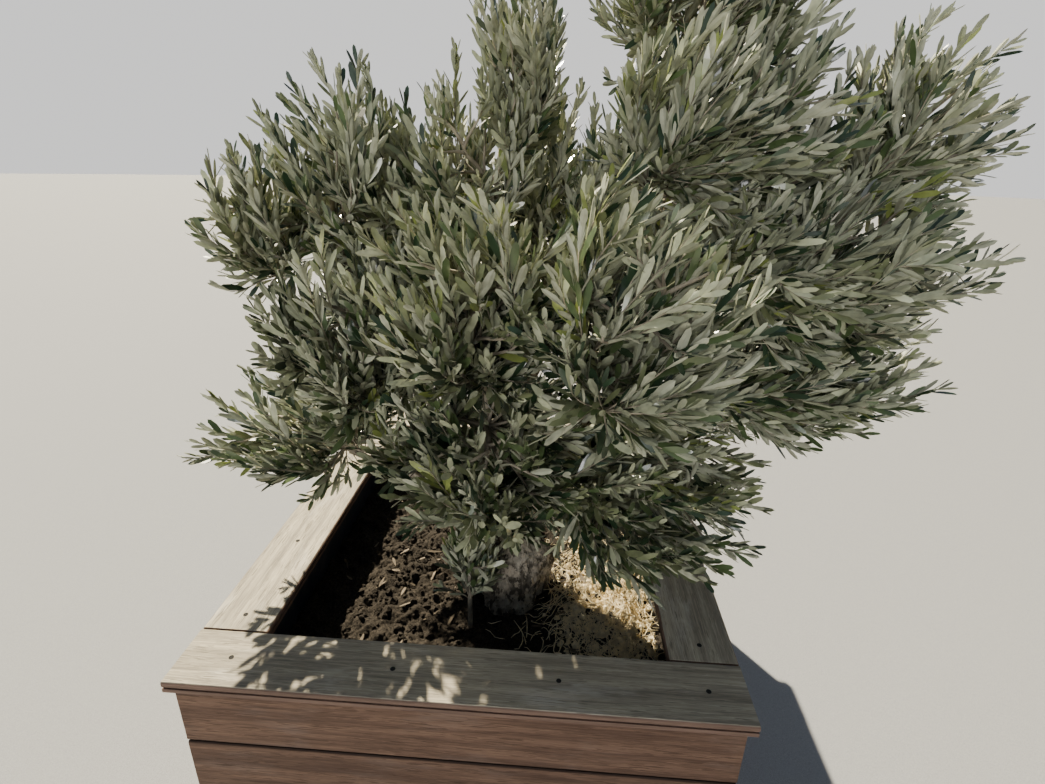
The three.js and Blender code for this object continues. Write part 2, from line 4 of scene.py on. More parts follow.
import bpy
import numpy as np
from bpy.props import FloatProperty, FloatVectorProperty, IntProperty, PointerProperty
from mathutils import Matrix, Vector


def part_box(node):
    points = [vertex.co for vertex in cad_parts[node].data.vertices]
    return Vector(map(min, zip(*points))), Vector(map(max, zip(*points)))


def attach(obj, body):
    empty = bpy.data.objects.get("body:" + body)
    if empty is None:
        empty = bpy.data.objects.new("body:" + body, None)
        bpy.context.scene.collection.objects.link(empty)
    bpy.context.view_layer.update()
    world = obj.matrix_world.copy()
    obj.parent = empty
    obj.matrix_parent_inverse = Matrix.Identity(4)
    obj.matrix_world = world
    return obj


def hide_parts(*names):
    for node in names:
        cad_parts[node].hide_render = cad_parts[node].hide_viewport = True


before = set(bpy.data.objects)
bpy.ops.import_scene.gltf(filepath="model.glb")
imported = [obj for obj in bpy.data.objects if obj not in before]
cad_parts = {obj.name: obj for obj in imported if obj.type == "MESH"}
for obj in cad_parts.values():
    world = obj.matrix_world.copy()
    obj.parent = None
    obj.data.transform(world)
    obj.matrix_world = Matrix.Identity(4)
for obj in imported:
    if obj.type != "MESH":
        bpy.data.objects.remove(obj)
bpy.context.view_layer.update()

bl_info = {
    "name": "Olive tree in a planter",
    "version": (1, 0, 0),
    "blender": (4, 5, 0),
    "location": "View3D > Sidebar > Olive tree",
    "description": "Finishes the planter and grows the bark, twigs and leaves of an olive tree",
    "category": "Object",
}

UP = np.array([0.0, 0.0, 1.0])
MM = 0.001
CLEAR = 0.3 * MM
# How far the painted shade of the gaps between boards reaches from a board's arris, and how far down a cap's
# bleached top gives way to its edge
GAP_SHADE_REACH = 5 * MM
CAP_EDGE = (1.6 * MM, 0.6 * MM)

# The trunk, as the part has it: flare and burls are shares of the radius
TRUNK = {
    "foot": (0.076, -0.185),
    "height": 0.262,
    "lean": (-0.022, 0.026),
    "radius": 0.084,
    "head_radius": 0.054,
    "thinning": 1.15,
    "flare": {"size": 0.1, "fade": 3, "even": 0.7, "ridge": 0.5, "ridges": 5, "turn": 0.8},
    "burls": (
        {"size": 0.1, "lobes": 2, "twist": 7, "turn": 0},
        {"size": 0.06, "lobes": 3, "twist": -9, "turn": 1},
    ),
    "belly": {"size": 0.36, "at": 0.38, "spread": 0.27},
    "dome": {"start": 0.8, "length": 0.22},
    "rings": 150,
    "sides": 144,
    "ridge_size": 0.030,
}

# Boughs: parent, way up it, thickness at both ends, and the masses that each one feeds
BOUGHS = {
    "left_bough": ("trunk", 0.84, 0.052, 0.022, ("left_top", "left_upper")),
    "centre_bough": ("trunk", 0.9, 0.050, 0.022, ("centre_top", "spire")),
    "right_bough": ("trunk", 0.8, 0.054, 0.022, ("right_top",)),
    "back_bough": ("trunk", 0.82, 0.046, 0.020, ("back_centre",)),
    "front_bough": ("trunk", 0.78, 0.036, 0.018, ("centre_front", "low_front")),
    "low_left_bough": ("trunk", 0.68, 0.030, 0.014, ("left_low",)),
    "low_right_bough": ("trunk", 0.66, 0.030, 0.014, ("low_right",)),
    "left_middle_bough": ("left_bough", 0.42, 0.026, 0.014, ("left_middle",)),
    "back_left_bough": ("back_bough", 0.3, 0.030, 0.016, ("back_left",)),
    "back_right_bough": ("back_bough", 0.4, 0.030, 0.016, ("back_right",)),
    "front_right_bough": ("right_bough", 0.3, 0.028, 0.016, ("front_right",)),
    "right_side_bough": ("right_bough", 0.5, 0.032, 0.018, ("right_tip", "right_middle")),
    "right_low_bough": ("right_bough", 0.36, 0.028, 0.014, ("right_low",)),
    "summit_bough": ("right_bough", 0.74, 0.030, 0.018, ("summit",)),
}
# How a bough leaves its limb, how short of its goal it ends, how it sways and thins, and how its bark is made
BOUGH = {
    "rise": 0.8, "out": 0.6, "along": 0.6, "short": 0.6, "sway": 0.04, "taper_power": 0.8,
    "collar": 0.35, "collar_length": 0.045, "knots": 0.05, "knot_twist": 23,
    "ring_step": 0.008, "rings": 24, "sides": 28, "ridge_size": 0.6, "relief": 0.13,
}
# The reach of a curve's handles, as shares of its span, and the waves of its sway
BEND = {"out": 0.38, "home": 0.3, "waves": 1.5}

# Masses of foliage: the centre and the half sizes of each one's space, and the way that its shoots grow
MASSES = {
    "left_upper": ((-0.500, -0.190, 1.500), (0.140, 0.200, 0.180), (-0.35, -0.1, 1)),
    "left_top": ((-0.320, -0.110, 1.600), (0.185, 0.250, 0.215), (-0.1, 0, 1)),
    "left_middle": ((-0.250, -0.330, 1.290), (0.205, 0.240, 0.225), (-0.2, -0.4, 1)),
    "left_low": ((-0.440, -0.220, 1.020), (0.260, 0.220, 0.145), (-0.6, -0.3, 0.8)),
    "centre_top": ((-0.060, -0.100, 1.610), (0.170, 0.250, 0.230), (0, -0.05, 1)),
    "centre_front": ((0.015, -0.500, 1.410), (0.200, 0.215, 0.205), (0, -0.45, 1)),
    "low_front": ((0.040, -0.450, 1.090), (0.250, 0.210, 0.205), (0.1, -0.8, 0.5)),
    "spire": ((0.050, 0.060, 1.820), (0.115, 0.220, 0.270), (0.02, 0, 1)),
    "summit": ((0.460, 0.020, 1.990), (0.240, 0.270, 0.240), (0.35, 0, 1)),
    "right_top": ((0.490, -0.220, 1.700), (0.260, 0.260, 0.240), (0.62, -0.1, 0.85)),
    "front_right": ((0.300, -0.550, 1.400), (0.210, 0.215, 0.235), (0.6, -0.4, 0.95)),
    "right_tip": ((0.890, -0.100, 1.725), (0.170, 0.230, 0.205), (0.75, 0, 0.8)),
    "right_middle": ((0.690, -0.290, 1.470), (0.290, 0.250, 0.200), (0.9, -0.1, 0.6)),
    "right_low": ((0.700, -0.200, 1.210), (0.300, 0.230, 0.165), (1, -0.1, 0.35)),
    "low_right": ((0.395, -0.330, 0.945), (0.240, 0.240, 0.230), (0.8, -0.5, 0.1)),
    "back_left": ((-0.270, 0.200, 1.310), (0.290, 0.300, 0.360), (-0.45, 0.5, 0.8)),
    "back_centre": ((0.200, 0.325, 1.480), (0.320, 0.355, 0.360), (0.1, 0.7, 0.9)),
    "back_right": ((0.620, 0.250, 1.370), (0.310, 0.310, 0.360), (0.7, 0.6, 0.7)),
    "foot_shoot": ((-0.020, -0.330, 0.780), (0.090, 0.090, 0.170), (0, 0, 1)),
}
# How full a mass is where it isn't as full as the rest
FULLNESS = {
    "centre_top": 0.62, "left_top": 0.85, "spire": 0.8, "summit": 0.9, "left_upper": 0.85,
    "right_tip": 0.8, "left_low": 0.75, "back_left": 0.85, "back_centre": 0.8, "back_right": 0.85,
}
# How fast a mass's growth fades with the square of the share of its space
GROWTH_FADE = 1.2
# How stems, twigs and shoots are laid. Shoots start at places: the first way, the last way and their number.
# Leaves on twigs start past the bare length from the stem's foot, and the leafy share of them is kept
STEM = {
    "thick": 0.013, "thin": 0.008, "past": 0.3, "sway": 0.03, "places": (0.3, 1.0, 12),
    "rings": 14, "sides": 8,
}
TWIG = {
    "thick": 0.009, "thin": 0.004, "first": 0.12, "last": 0.96, "ahead": 0.7, "along": 0.5, "upturn": 0.9,
    "from": 0.30, "to": 0.74, "shoots": 6, "least": 6, "places": (0.25, 1.0, 7), "bare": 0.1, "leafy": 0.6,
    "rings": 8, "sides": 5,
}
SHOOT = {
    "thick": 0.0040, "thin": 0.0016, "back": 0.245, "near": 0.7, "far": 1.2, "longest": 0.48, "along": 0.5,
    "upturn": 1.5, "outward": 0.18, "wander": 0.2, "wander_size": 0.3, "jitter": 0.11,
    "tries": 2.4, "from": 0.22, "to": 1.02, "least": 14, "rings": 6, "sides": 3,
}
# Shoots stand in clumps: how wide these are, how thin it is between them, how unevenly they reach out, and
# the shares of a space between which its rim thins out
CLUMP = {
    "size": 0.17, "middle": 0.62, "swing": 0.75, "least": 0.04, "reach": 0.036, "reach_size": 0.10,
    "full": 0.80, "gone": 1.12,
}
# Bark: its usual relief, how its ridges are drawn out upwards, the size of its lumps and grain against the
# ridges', and the share of each in the relief
BARK_RELIEF = 0.007
BARK = {
    "drawn": (1, 1, 0.72), "lump_size": 3.2, "grain_size": 0.35,
    "ridges": 0.55, "deepest": -0.6, "lumps": 0.55, "grain": 0.16, "sunk": 0.25, "young": 0.5,
}
# How far past its space a shoot, a leaf's root and a leaf's tip may reach
PAST = {"shoot": 0.026, "root": 0.030, "leaf": 0.058}
# The share of that for a mass that would reach too far
TRIM = {"left_upper": 0.1}
# How far leaves keep from the soil's edge, from the soil and from the caps, and litter from edge and trunk
KEPT_OFF = {"liner": 0.05, "soil": 0.012, "caps": 0.008, "edge": 0.02, "trunk": 0.10}
EVEN_STEP = 1.2207440846
SEED = {
    "trunk": 1, "boughs": 101, "stems": 201, "masses": 301, "boards": 5, "trunk_bark": 11, "bough_bark": 40,
    "soil": 21, "clods": 31, "litter": 32, "clumps": 61, "ragged": 62, "wander": 71,
}
# The soil: its lumps by size and share, the mound round the trunk, the heap at the right, and its grid
SOIL = {
    "lumps": ((0.16, 0.5), (0.045, 0.35), (0.016, 0.2)),
    "mound": {"height": 0.014, "radius": 0.14},
    "heap": {"height": 0.028, "middle": (0.33, -0.22), "spread": (0.13, 0.22)},
    "rise": 0.004,
    "grid": (230, 280),
}
# What is strewn on the soil: how many, about which middle, how widely, and how coarse
STREWN = {
    "clods": (2600, (0.0, 0.0), (0.34, 0.40), 0.0021),
    "chips": (2600, (0.35, -0.22), (0.07, 0.16), 0.0016),
    "straws": (1500, (0.33, -0.24), (0.085, 0.17), 0.0011),
    "leaves": (130, (0.1, -0.1), (0.3, 0.35), None),
}
# Screws: places along the front and back caps and along the side caps, and a head's radii and heights
SCREWS = {
    "across": (-0.473, -0.135, 0.202, 0.498),
    "along": (-0.4926, -0.2155, 0.0615, 0.3386),
    "sides": 20,
    "rings": ((1.25, 0.00005), (1.25, 0.0006), (1.0, 0.0004), (0.82, 0.0001), (0.25, 0.0001)),
}

# The camera that took the photograph, fitted to the edges of the planter's caps
CAMERA = {
    "place": (0.16534, -1.49103, 1.638),
    "right": (0.99754, 0.06616, 0.02301),
    "up": (-0.04561, 0.36431, 0.93016),
    "ahead": (-0.05315, 0.92893, -0.36643),
    "lens": 20.09,
    "sensor": 36.0,
    "clip": 0.05,
}
# How far the floor reaches, how far under the planter it lies, and the size and foot of the backdrop
STAGE = {"reach": 60.0, "floor": -0.0005, "backdrop": 0.97 * 60.0, "foot": -1.0}
# The lamps: where each shines from, its angle and its colour
LAMPS = {
    "key": ((-2.7, 3.9, 4.1), 0.016, (1.0, 0.89, 0.67)),
    "front": ((-0.9, -4.2, 0.76), 0.35, (1.0, 0.98, 0.98)),
}
SKY_COLOUR = (0.66, 0.79, 1.0)


# Settings

def colour_setting(name, description, default):
    return FloatVectorProperty(
        name=name, description=description, subtype="COLOR", default=default, min=0, max=1)


def length_setting(name, description, default, low, high):
    return FloatProperty(
        name=name, description=description, subtype="DISTANCE", unit="LENGTH",
        default=default, min=low, max=high)


def light_setting(name, description, default, high):
    return FloatProperty(name=name, description=description, default=default, min=0, max=high)


class PlanterSettings(bpy.types.PropertyGroup):
    """Colours and sizes of the planter."""
    cap_colour: colour_setting("Cap timber", "Sun-bleached timber of the caps", (0.60, 0.54, 0.41))
    cap_dark: colour_setting("Cap grain", "Grey-brown grain of the caps", (0.190, 0.170, 0.138))
    edge_colour: colour_setting("Cap edges", "Unbleached timber on the caps' edges", (0.215, 0.140, 0.105))
    board_colour: colour_setting("Side timber", "Red-brown timber of the sides", (0.240, 0.148, 0.100))
    board_dark: colour_setting("Side grain", "Dark grain of the sides", (0.070, 0.040, 0.028))
    liner_colour: colour_setting("Liner", "Blue-black liner inside the planter", (0.012, 0.017, 0.026))
    soil_colour: colour_setting("Soil", "Dry brown soil", (0.043, 0.036, 0.029))
    straw_colour: colour_setting("Litter", "Pale dry litter on the soil", (0.80, 0.69, 0.46))
    screw_radius: length_setting("Screw radius", "Radius of a screw head in the caps", 0.0042, 0.002, 0.01)
    relief: length_setting("Soil relief", "Height of the soil's lumps", 0.010, 0, 0.03)


class TreeSettings(bpy.types.PropertyGroup):
    """Colours and sizes of the tree."""
    bark_colour: colour_setting("Bark", "Grey-brown bark", (0.37, 0.325, 0.248))
    twig_colour: colour_setting("Twigs", "Young grey-brown wood", (0.34, 0.30, 0.225))
    leaf_length: length_setting("Leaf length", "Length of a full-grown leaf", 0.064, 0.03, 0.1)
    leaf_width: length_setting("Leaf width", "Width of a full-grown leaf", 0.0138, 0.005, 0.03)
    shoots: IntProperty(
        name="Shoots", description="Leafy shoots on the whole tree", default=3300, min=100, max=5000)
    bark_relief: length_setting("Bark relief", "Height of the bark's ridges", BARK_RELIEF, 0, 0.02)


class StageSettings(bpy.types.PropertyGroup):
    """The floor and the light."""
    floor_colour: colour_setting("Floor", "Plain pale floor", (0.30, 0.308, 0.322))
    backdrop_colour: colour_setting("Backdrop", "Plain pale backdrop", (0.97, 0.965, 0.955))
    key_strength: light_setting("Key light", "Strength of the high light from behind", 15.8, 25)
    front_strength: light_setting("Front light", "Strength of the low soft light in front", 1.45, 25)
    sky_strength: light_setting("Fill light", "Strength of the even light from all round", 0.22, 5)


# Shader maths

class Field:
    """A value that changes over a surface. Python's operators on it add Math nodes."""

    def __init__(self, finish, socket):
        self.finish = finish
        self.socket = socket

    def maths(self, operation, *values):
        return self.finish.add("ShaderNodeMath", {"operation": operation}, dict(enumerate(values)))

    def __add__(self, other):
        return self.maths("ADD", self, other)

    def __radd__(self, other):
        return self.maths("ADD", other, self)

    def __sub__(self, other):
        return self.maths("SUBTRACT", self, other)

    def __rsub__(self, other):
        return self.maths("SUBTRACT", other, self)

    def __mul__(self, other):
        return self.maths("MULTIPLY", self, other)

    def __rmul__(self, other):
        return self.maths("MULTIPLY", other, self)

    def between(self, low, high):
        """A smooth step from 0 at low to 1 at high."""
        return self.finish.add("ShaderNodeMapRange", {"interpolation_type": "SMOOTHSTEP"}, {
            "Value": self, "From Min": low, "From Max": high})


class Finish:
    """A material that is being made. One method adds any node to it."""

    def __init__(self, name, **constants):
        self.material = bpy.data.materials.new(name)
        self.material.use_nodes = True
        self.tree = self.material.node_tree
        self.shader = self.tree.nodes["Principled BSDF"]
        for socket, value in constants.items():
            self.shader.inputs[socket.replace("_", " ")].default_value = value

    def feed(self, socket, value):
        if isinstance(value, Field):
            self.tree.links.new(value.socket, socket)
        else:
            socket.default_value = value

    def add(self, kind, settings=None, sockets=None, output=0):
        """Adds a node of a kind: its settings first, then the values or links of its sockets."""
        node = self.tree.nodes.new(kind)
        for key, value in (settings or {}).items():
            setattr(node, key, value)
        for key, value in (sockets or {}).items():
            self.feed(node.inputs[key], value)
        return Field(self, node.outputs[output])

    def place(self):
        """The object's own coordinates."""
        return self.add("ShaderNodeTexCoord", output="Object")

    def spot(self, stretch, shift):
        """The object's own coordinates, stretched by axis and shifted."""
        sockets = {"Vector": self.place(), "Scale": stretch, "Location": shift}
        return self.add("ShaderNodeMapping", None, sockets)

    def noise(self, stretch, shift=(0, 0, 0), detail=3.0, roughness=0.55):
        """Noise on the stretched coordinates."""
        return self.add("ShaderNodeTexNoise", None, {
            "Vector": self.spot(stretch, shift), "Scale": 1.0, "Detail": detail, "Roughness": roughness})

    def cells(self, stretch):
        """Distance to the nearest of scattered points, on the stretched coordinates."""
        return self.add("ShaderNodeTexVoronoi", None, {"Vector": self.spot(stretch, (0, 0, 0)), "Scale": 1.0})

    def blend(self, mask, low, high):
        """The colour low where the mask is 0, and the colour high where it is 1."""
        sockets = {"Factor": mask, "A": opaque(low), "B": opaque(high)}
        return self.add("ShaderNodeMix", {"data_type": "RGBA"}, sockets, output="Result")

    def close(self, colour, roughness=None, height=None, depth=0.001, strength=1.0):
        """Feeds the shader, with the height as a bump, and gives the finished material."""
        self.feed(self.shader.inputs["Base Color"], colour)
        if roughness is not None:
            self.feed(self.shader.inputs["Roughness"], roughness)
        if height is not None:
            sockets = {"Strength": strength, "Distance": depth, "Height": height}
            self.feed(self.shader.inputs["Normal"], self.add("ShaderNodeBump", None, sockets))
        return self.material


def opaque(colour):
    """A colour with its alpha, or a field as it is."""
    return colour if isinstance(colour, Field) else (*colour[:3], 1.0)


def shade(colour, factor):
    return tuple(min(1.0, channel * factor) for channel in colour)


# Materials

def timber(name, along, pale, dark, tone, seed, worn, edge=None, ends=None):
    """Sawn timber, its grain drawn out along one axis: broad tone, streaks, fine dark lines, worn patches.

    Where an edge tone is given, only the top is bleached, and the edges below it keep that tone. Where the
    heights of both ends are given, painted shade darkens the arrises there, for the shadow in the gaps
    between boards.
    """
    finish = Finish(name, IOR=1.45, Specular_IOR_Level=0.3)

    def drawn(long, across):
        return tuple(long if axis == along else across for axis in range(3))

    shift = (3.7 * seed, 1.9 * seed, 5.3 * seed)
    broad = finish.noise(drawn(1.6, 11), shift, detail=2)
    wander = finish.noise(drawn(2.6, 45), shift, detail=4, roughness=0.62)
    streaks = finish.noise(drawn(6.5, 210), shift, detail=3, roughness=0.6)
    fine = finish.noise(drawn(20, 520), shift, detail=2)
    pores = finish.noise(drawn(45, 1000), shift, detail=1)
    patches = finish.noise(drawn(6, 18), shift, detail=4)
    grain = wander.between(0.36, 0.66) * 0.45 + streaks.between(0.38, 0.62) * 0.35
    grain = grain + fine.between(0.4, 0.6) * 0.2
    lines = fine.between(0.53, 0.6) * streaks.between(0.42, 0.56)
    colour = finish.blend(grain, shade(dark, tone), shade(pale, tone))
    bleached = tuple(0.5 * (channel + sum(pale) / 3) for channel in pale)
    colour = finish.blend(patches.between(0.5, 0.72) * worn, colour, shade(bleached, 1.12 * tone))
    colour = finish.blend(broad.between(0.56, 0.75) * 0.4, colour, shade(dark, 1.15 * tone))
    colour = finish.blend(lines * 0.7, colour, shade(dark, 0.6 * tone))
    height = finish.add("ShaderNodeSeparateXYZ", None, {"Vector": finish.place()}, output="Z")
    if edge is not None:
        sawn = finish.blend(grain, shade(edge, 0.55 * tone), shade(edge, 1.2 * tone))
        low, high = (cap_top() - depth for depth in CAP_EDGE)
        colour = finish.blend(height.between(low, high), sawn, colour)
    if ends is not None:
        bottom, top = ends
        # Painted shade: the timber darkens towards its top and bottom arrises, standing in for the shadow in
        # the gaps between boards.
        outside_gap_shade = height.between(bottom, bottom + GAP_SHADE_REACH) * (1 - height.between(top - GAP_SHADE_REACH, top))
        colour = finish.blend(outside_gap_shade, shade(dark, 0.3 * tone), colour)
    relief = grain * 0.6 - lines * 0.6 + pores * 0.15
    roughness = grain * 0.12 + 0.74
    return finish.close(colour, roughness, relief, depth=0.0011, strength=0.75)


def liner_finish(colour):
    """Matt sheet with soft wrinkles and a film of dust."""
    finish = Finish("liner_sheet")
    wrinkles = finish.noise((9, 9, 3.5), detail=4)
    dust = finish.noise((26, 26, 26), detail=5)
    shown = finish.blend(dust.between(0.45, 0.75) * 0.35, colour, (0.10, 0.085, 0.07))
    return finish.close(shown, dust * 0.3 + 0.45, wrinkles, depth=0.012, strength=0.6)


def soil_finish(colour):
    """Dry crumbly soil with paler crusts and dark damp patches."""
    finish = Finish("dry_soil", Roughness=1.0, Specular_IOR_Level=0.15)
    patches = finish.noise((7, 7, 7), detail=4)
    crumbs = finish.noise((160, 160, 160), detail=4, roughness=0.7)
    flecks = finish.noise((420, 420, 420), detail=2)
    shown = finish.blend(crumbs.between(0.35, 0.68), shade(colour, 0.35), shade(colour, 1.3))
    shown = finish.blend(patches.between(0.52, 0.72) * 0.6, shown, shade(colour, 0.4))
    shown = finish.blend(flecks.between(0.62, 0.7) * 0.4, shown, (0.24, 0.19, 0.14))
    return finish.close(shown, None, crumbs + flecks * 0.4, depth=0.004, strength=0.9)


def bark_finish(colour):
    """Old grey-brown bark with dark cracks and pale grey blotches."""
    finish = Finish("old_bark", Roughness=0.92, Specular_IOR_Level=0.2)
    cracks = finish.noise((46, 46, 24), detail=6, roughness=0.72)
    scales = finish.cells((90, 90, 62))
    blotches = finish.noise((26, 26, 22), detail=4)
    shown = finish.blend(cracks.between(0.45, 0.52), shade(colour, 0.18), colour)
    shown = finish.blend(scales.between(0.5, 0.72) * 0.6, shown, shade(colour, 0.4))
    shown = finish.blend(blotches.between(0.55, 0.62) * 0.5, shown, (0.44, 0.405, 0.32))
    height = cracks * 0.8 - scales * 0.5
    return finish.close(shown, None, height, depth=0.004, strength=0.9)


def twig_finish(colour):
    """Young bark, paler on the shoots, with fine specks."""
    finish = Finish("young_bark", Roughness=0.8)
    specks = finish.noise((240, 240, 240), detail=2)
    tones = finish.noise((16, 16, 16), detail=2)
    shown = finish.blend(tones.between(0.35, 0.65), shade(colour, 0.55), shade(colour, 1.2))
    shown = finish.blend(specks.between(0.58, 0.68) * 0.5, shown, shade(colour, 0.35))
    return finish.close(shown, None, specks, depth=0.0006, strength=0.5)


def leaf_finish(name, colour, roughness, coat):
    """Leathery leaf skin: a little lighter and darker from place to place."""
    finish = Finish(name, Roughness=roughness, Coat_Weight=coat, Coat_Roughness=0.2)
    tones = finish.noise((38, 38, 38), detail=2)
    shown = finish.blend(tones.between(0.3, 0.7), shade(colour, 0.78), shade(colour, 1.2))
    return finish.close(shown)


def plain_finish(name, colour, roughness, scale=60.0):
    """A small thing's finish: two close tones in soft specks."""
    finish = Finish(name, Roughness=roughness)
    tones = finish.noise((scale, scale, scale), detail=2)
    return finish.close(finish.blend(tones.between(0.35, 0.65), shade(colour, 0.75), shade(colour, 1.15)))


# The leaf tones: colour, roughness and coat of the upper face, and its share of the sprays
LEAF_TONES = {
    "leaf_deep": ((0.019, 0.044, 0.019), 0.38, 0.9, 0.27),
    "leaf_green": ((0.073, 0.112, 0.041), 0.36, 0.9, 0.21),
    "leaf_grey": ((0.176, 0.202, 0.101), 0.38, 0.9, 0.22),
    "leaf_silver": ((0.49, 0.52, 0.34), 0.40, 0.8, 0.26),
    "leaf_young": ((0.225, 0.27, 0.07), 0.36, 0.9, 0.08),
}
UNDER_TONES = {
    "under_silver": ((0.400, 0.415, 0.305), 0.75, 0.0),
    "under_grey": ((0.265, 0.285, 0.195), 0.75, 0.0),
}


# Curves and surfaces

def unit(vectors):
    """Vectors of length 1 along the given ones."""
    vectors = np.asarray(vectors, dtype=float)
    return vectors / np.maximum(np.linalg.norm(vectors, axis=-1, keepdims=True), 1e-12)


def seeded_random(seed):
    """The part's own random numbers from 0 to 1: a counter mixed by 32-bit multiplication."""
    mask = 0xFFFFFFFF
    state = seed
    while True:
        state = (state + 0x6D2B79F5) & mask
        mixed = ((state ^ (state >> 15)) * (1 | state)) & mask
        mixed = ((mixed + (mixed ^ (mixed >> 7)) * (61 | mixed)) & mask) ^ mixed
        yield (mixed ^ (mixed >> 14)) / 2 ** 32


def cubic_weights(t):
    """The weights of a cubic curve's four controls: (1-t)^3, 3t(1-t)^2, 3t^2(1-t) and t^3."""
    return np.stack([(1 - t) ** 3, 3 * t * (1 - t) ** 2, 3 * t ** 2 * (1 - t), t ** 3], axis=-1)


def slope_weights(t):
    """The weights of the steps between the controls in the direction: (1-t)^2, 2t(1-t) and t^2."""
    return np.stack([(1 - t) ** 2, 2 * t * (1 - t), t ** 2], axis=-1)


def bezier(controls, ways):
    """Points of cubic curves, all at the same ways along them."""
    return np.einsum("...kc,sk->...sc", controls, cubic_weights(ways))


def bezier_tangents(controls, ways):
    """Directions of cubic curves, all at the same ways along them."""
    return unit(np.einsum("...kc,sk->...sc", np.diff(controls, axis=-2), slope_weights(ways)))


def handles(start, start_way, end, end_way):
    """The four controls of curves that leave their starts one way and meet their ends another."""
    span = np.linalg.norm(end - start, axis=-1, keepdims=True)
    leaving, meeting = start + start_way * span * BEND["out"], end - end_way * span * BEND["home"]
    return np.stack([start, leaving, meeting, end], axis=-2)


class Limb:
    """A limb's axis: a cubic curve between two ways, plus a sway.

    The sway's size is span * sway * sin^2(pi t) * sin(2 pi (waves * t + phase)).
    """
    SAMPLES = 200

    def __init__(self, start, start_way, end, end_way, sway, seed):
        start, end = np.array(start, dtype=float), np.array(end, dtype=float)
        straight = end - start
        span = np.linalg.norm(straight)
        random = seeded_random(seed)
        across, along = unit(np.cross(straight, UP)), unit(straight)
        turn = next(random) * 2 * math.pi
        sway_way = across * math.cos(turn) + np.cross(along, across) * math.sin(turn)
        phase = next(random)
        t = np.linspace(0, 1, self.SAMPLES + 1)
        size = span * sway * np.sin(np.pi * t) ** 2 * np.sin(2 * np.pi * (BEND["waves"] * t + phase))
        self.points = bezier(handles(start, start_way, end, end_way), t) + size[:, None] * sway_way
        steps = np.linalg.norm(np.diff(self.points, axis=0), axis=1)
        self.lengths = np.concatenate([[0], np.cumsum(steps)])
        self.length = self.lengths[-1]

    def at(self, ways):
        """Points at shares of the length."""
        wanted = np.asarray(ways, dtype=float) * self.length
        return np.stack([np.interp(wanted, self.lengths, self.points[:, axis]) for axis in range(3)], axis=-1)

    def tangent(self, ways):
        step = 0.5 / self.SAMPLES
        ways = np.asarray(ways, dtype=float)
        return unit(self.at(np.minimum(ways + step, 1)) - self.at(np.maximum(ways - step, 0)))


def turns(count):
    """Angles spread evenly round a circle."""
    return np.arange(count) * 2 * np.pi / count


def round_ways(tangents, side_way, sides):
    """Directions square to each tangent: cos(angle) * normal + sin(angle) * binormal.

    The normal is the tangent cross the side way, and the binormal is the tangent cross the normal.
    """
    normals = unit(np.cross(tangents, side_way))[:, :, None]
    binormals = np.cross(tangents[:, :, None], normals)
    angles = turns(sides)[:, None]
    return np.cos(angles) * normals + np.sin(angles) * binormals


def corners(*numbers):
    """Faces whose corners have these vertex numbers."""
    return np.stack(numbers, axis=-1)


def tube_triangles(rings, sides, copies=1):
    """Triangles of closed tubes whose vertices are the rings, then the start pole, then the end pole."""
    ring, side = np.meshgrid(np.arange(rings - 1), np.arange(sides), indexing="ij")
    following = (side + 1) % sides
    a, b = ring * sides + side, ring * sides + following
    c, d = a + sides, b + sides
    walls = np.stack([corners(a, b, d), corners(a, d, c)], axis=2).reshape(-1, 3)
    k = np.arange(sides)
    after = (k + 1) % sides
    last = (rings - 1) * sides
    start_pole, end_pole = rings * sides, rings * sides + 1
    start_cap = corners(np.full(sides, start_pole), after, k)
    end_cap = corners(np.full(sides, end_pole), last + k, last + after)
    one = np.concatenate([walls, start_cap, end_cap])
    step = rings * sides + 2
    return (one[None] + step * np.arange(copies)[:, None, None]).reshape(-1, 3)


def tubes(points, tangents, radii, sides, side_way):
    """Round tubes: points + radius * the directions round them, closed at a pole at each end.

    points and tangents are (tubes, rings, 3), and radii is (tubes, rings) or (tubes, rings, sides).
    """
    copies, rings = points.shape[:2]
    reach = radii[..., None, None] if radii.ndim == 2 else radii[..., None]
    walls = points[:, :, None] + reach * round_ways(tangents, side_way, sides)
    walls = walls.reshape(copies, rings * sides, 3)
    vertices = np.concatenate([walls, points[:, :1], points[:, -1:]], axis=1).reshape(-1, 3)
    return vertices, tube_triangles(rings, sides, copies)


def waves(points, size, seed, count=28):
    """Smooth noise from -1 to 1 or so: a scaled sum of sine waves in random directions, of about the size."""
    rng = np.random.default_rng(seed)
    ways = unit(rng.normal(size=(count, 3))) * (2 * np.pi / size) * rng.uniform(0.6, 1.7, (count, 1))
    phases = rng.uniform(0, 2 * np.pi, count)
    return np.sin(points @ ways.T + phases).sum(axis=-1) / math.sqrt(count) / 0.8


def put(name, data):
    """A new object in the scene."""
    thing = bpy.data.objects.new(name, data)
    bpy.context.scene.collection.objects.link(thing)
    return thing


def make_piece(name, shape, materials, indices=None, smooth=True):
    """Puts a shape, which is vertices and triangles, into the scene as a piece that rides on the part."""
    vertices, triangles = shape
    mesh = bpy.data.meshes.new(name)
    mesh.vertices.add(len(vertices))
    mesh.vertices.foreach_set("co", np.asarray(vertices, dtype=np.float32).ravel())
    mesh.loops.add(3 * len(triangles))
    mesh.loops.foreach_set("vertex_index", np.asarray(triangles, dtype=np.int32).ravel())
    mesh.polygons.add(len(triangles))
    mesh.polygons.foreach_set("loop_start", np.arange(0, 3 * len(triangles), 3, dtype=np.int32))
    for material in materials:
        mesh.materials.append(material)
    if indices is not None:
        mesh.polygons.foreach_set("material_index", np.asarray(indices, dtype=np.int32))
    mesh.polygons.foreach_set("use_smooth", np.full(len(triangles), smooth))
    mesh.update(calc_edges=True)
    mesh.validate()
    piece = put(name, mesh)
    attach(piece, "root")
    return piece


# The tree's rule

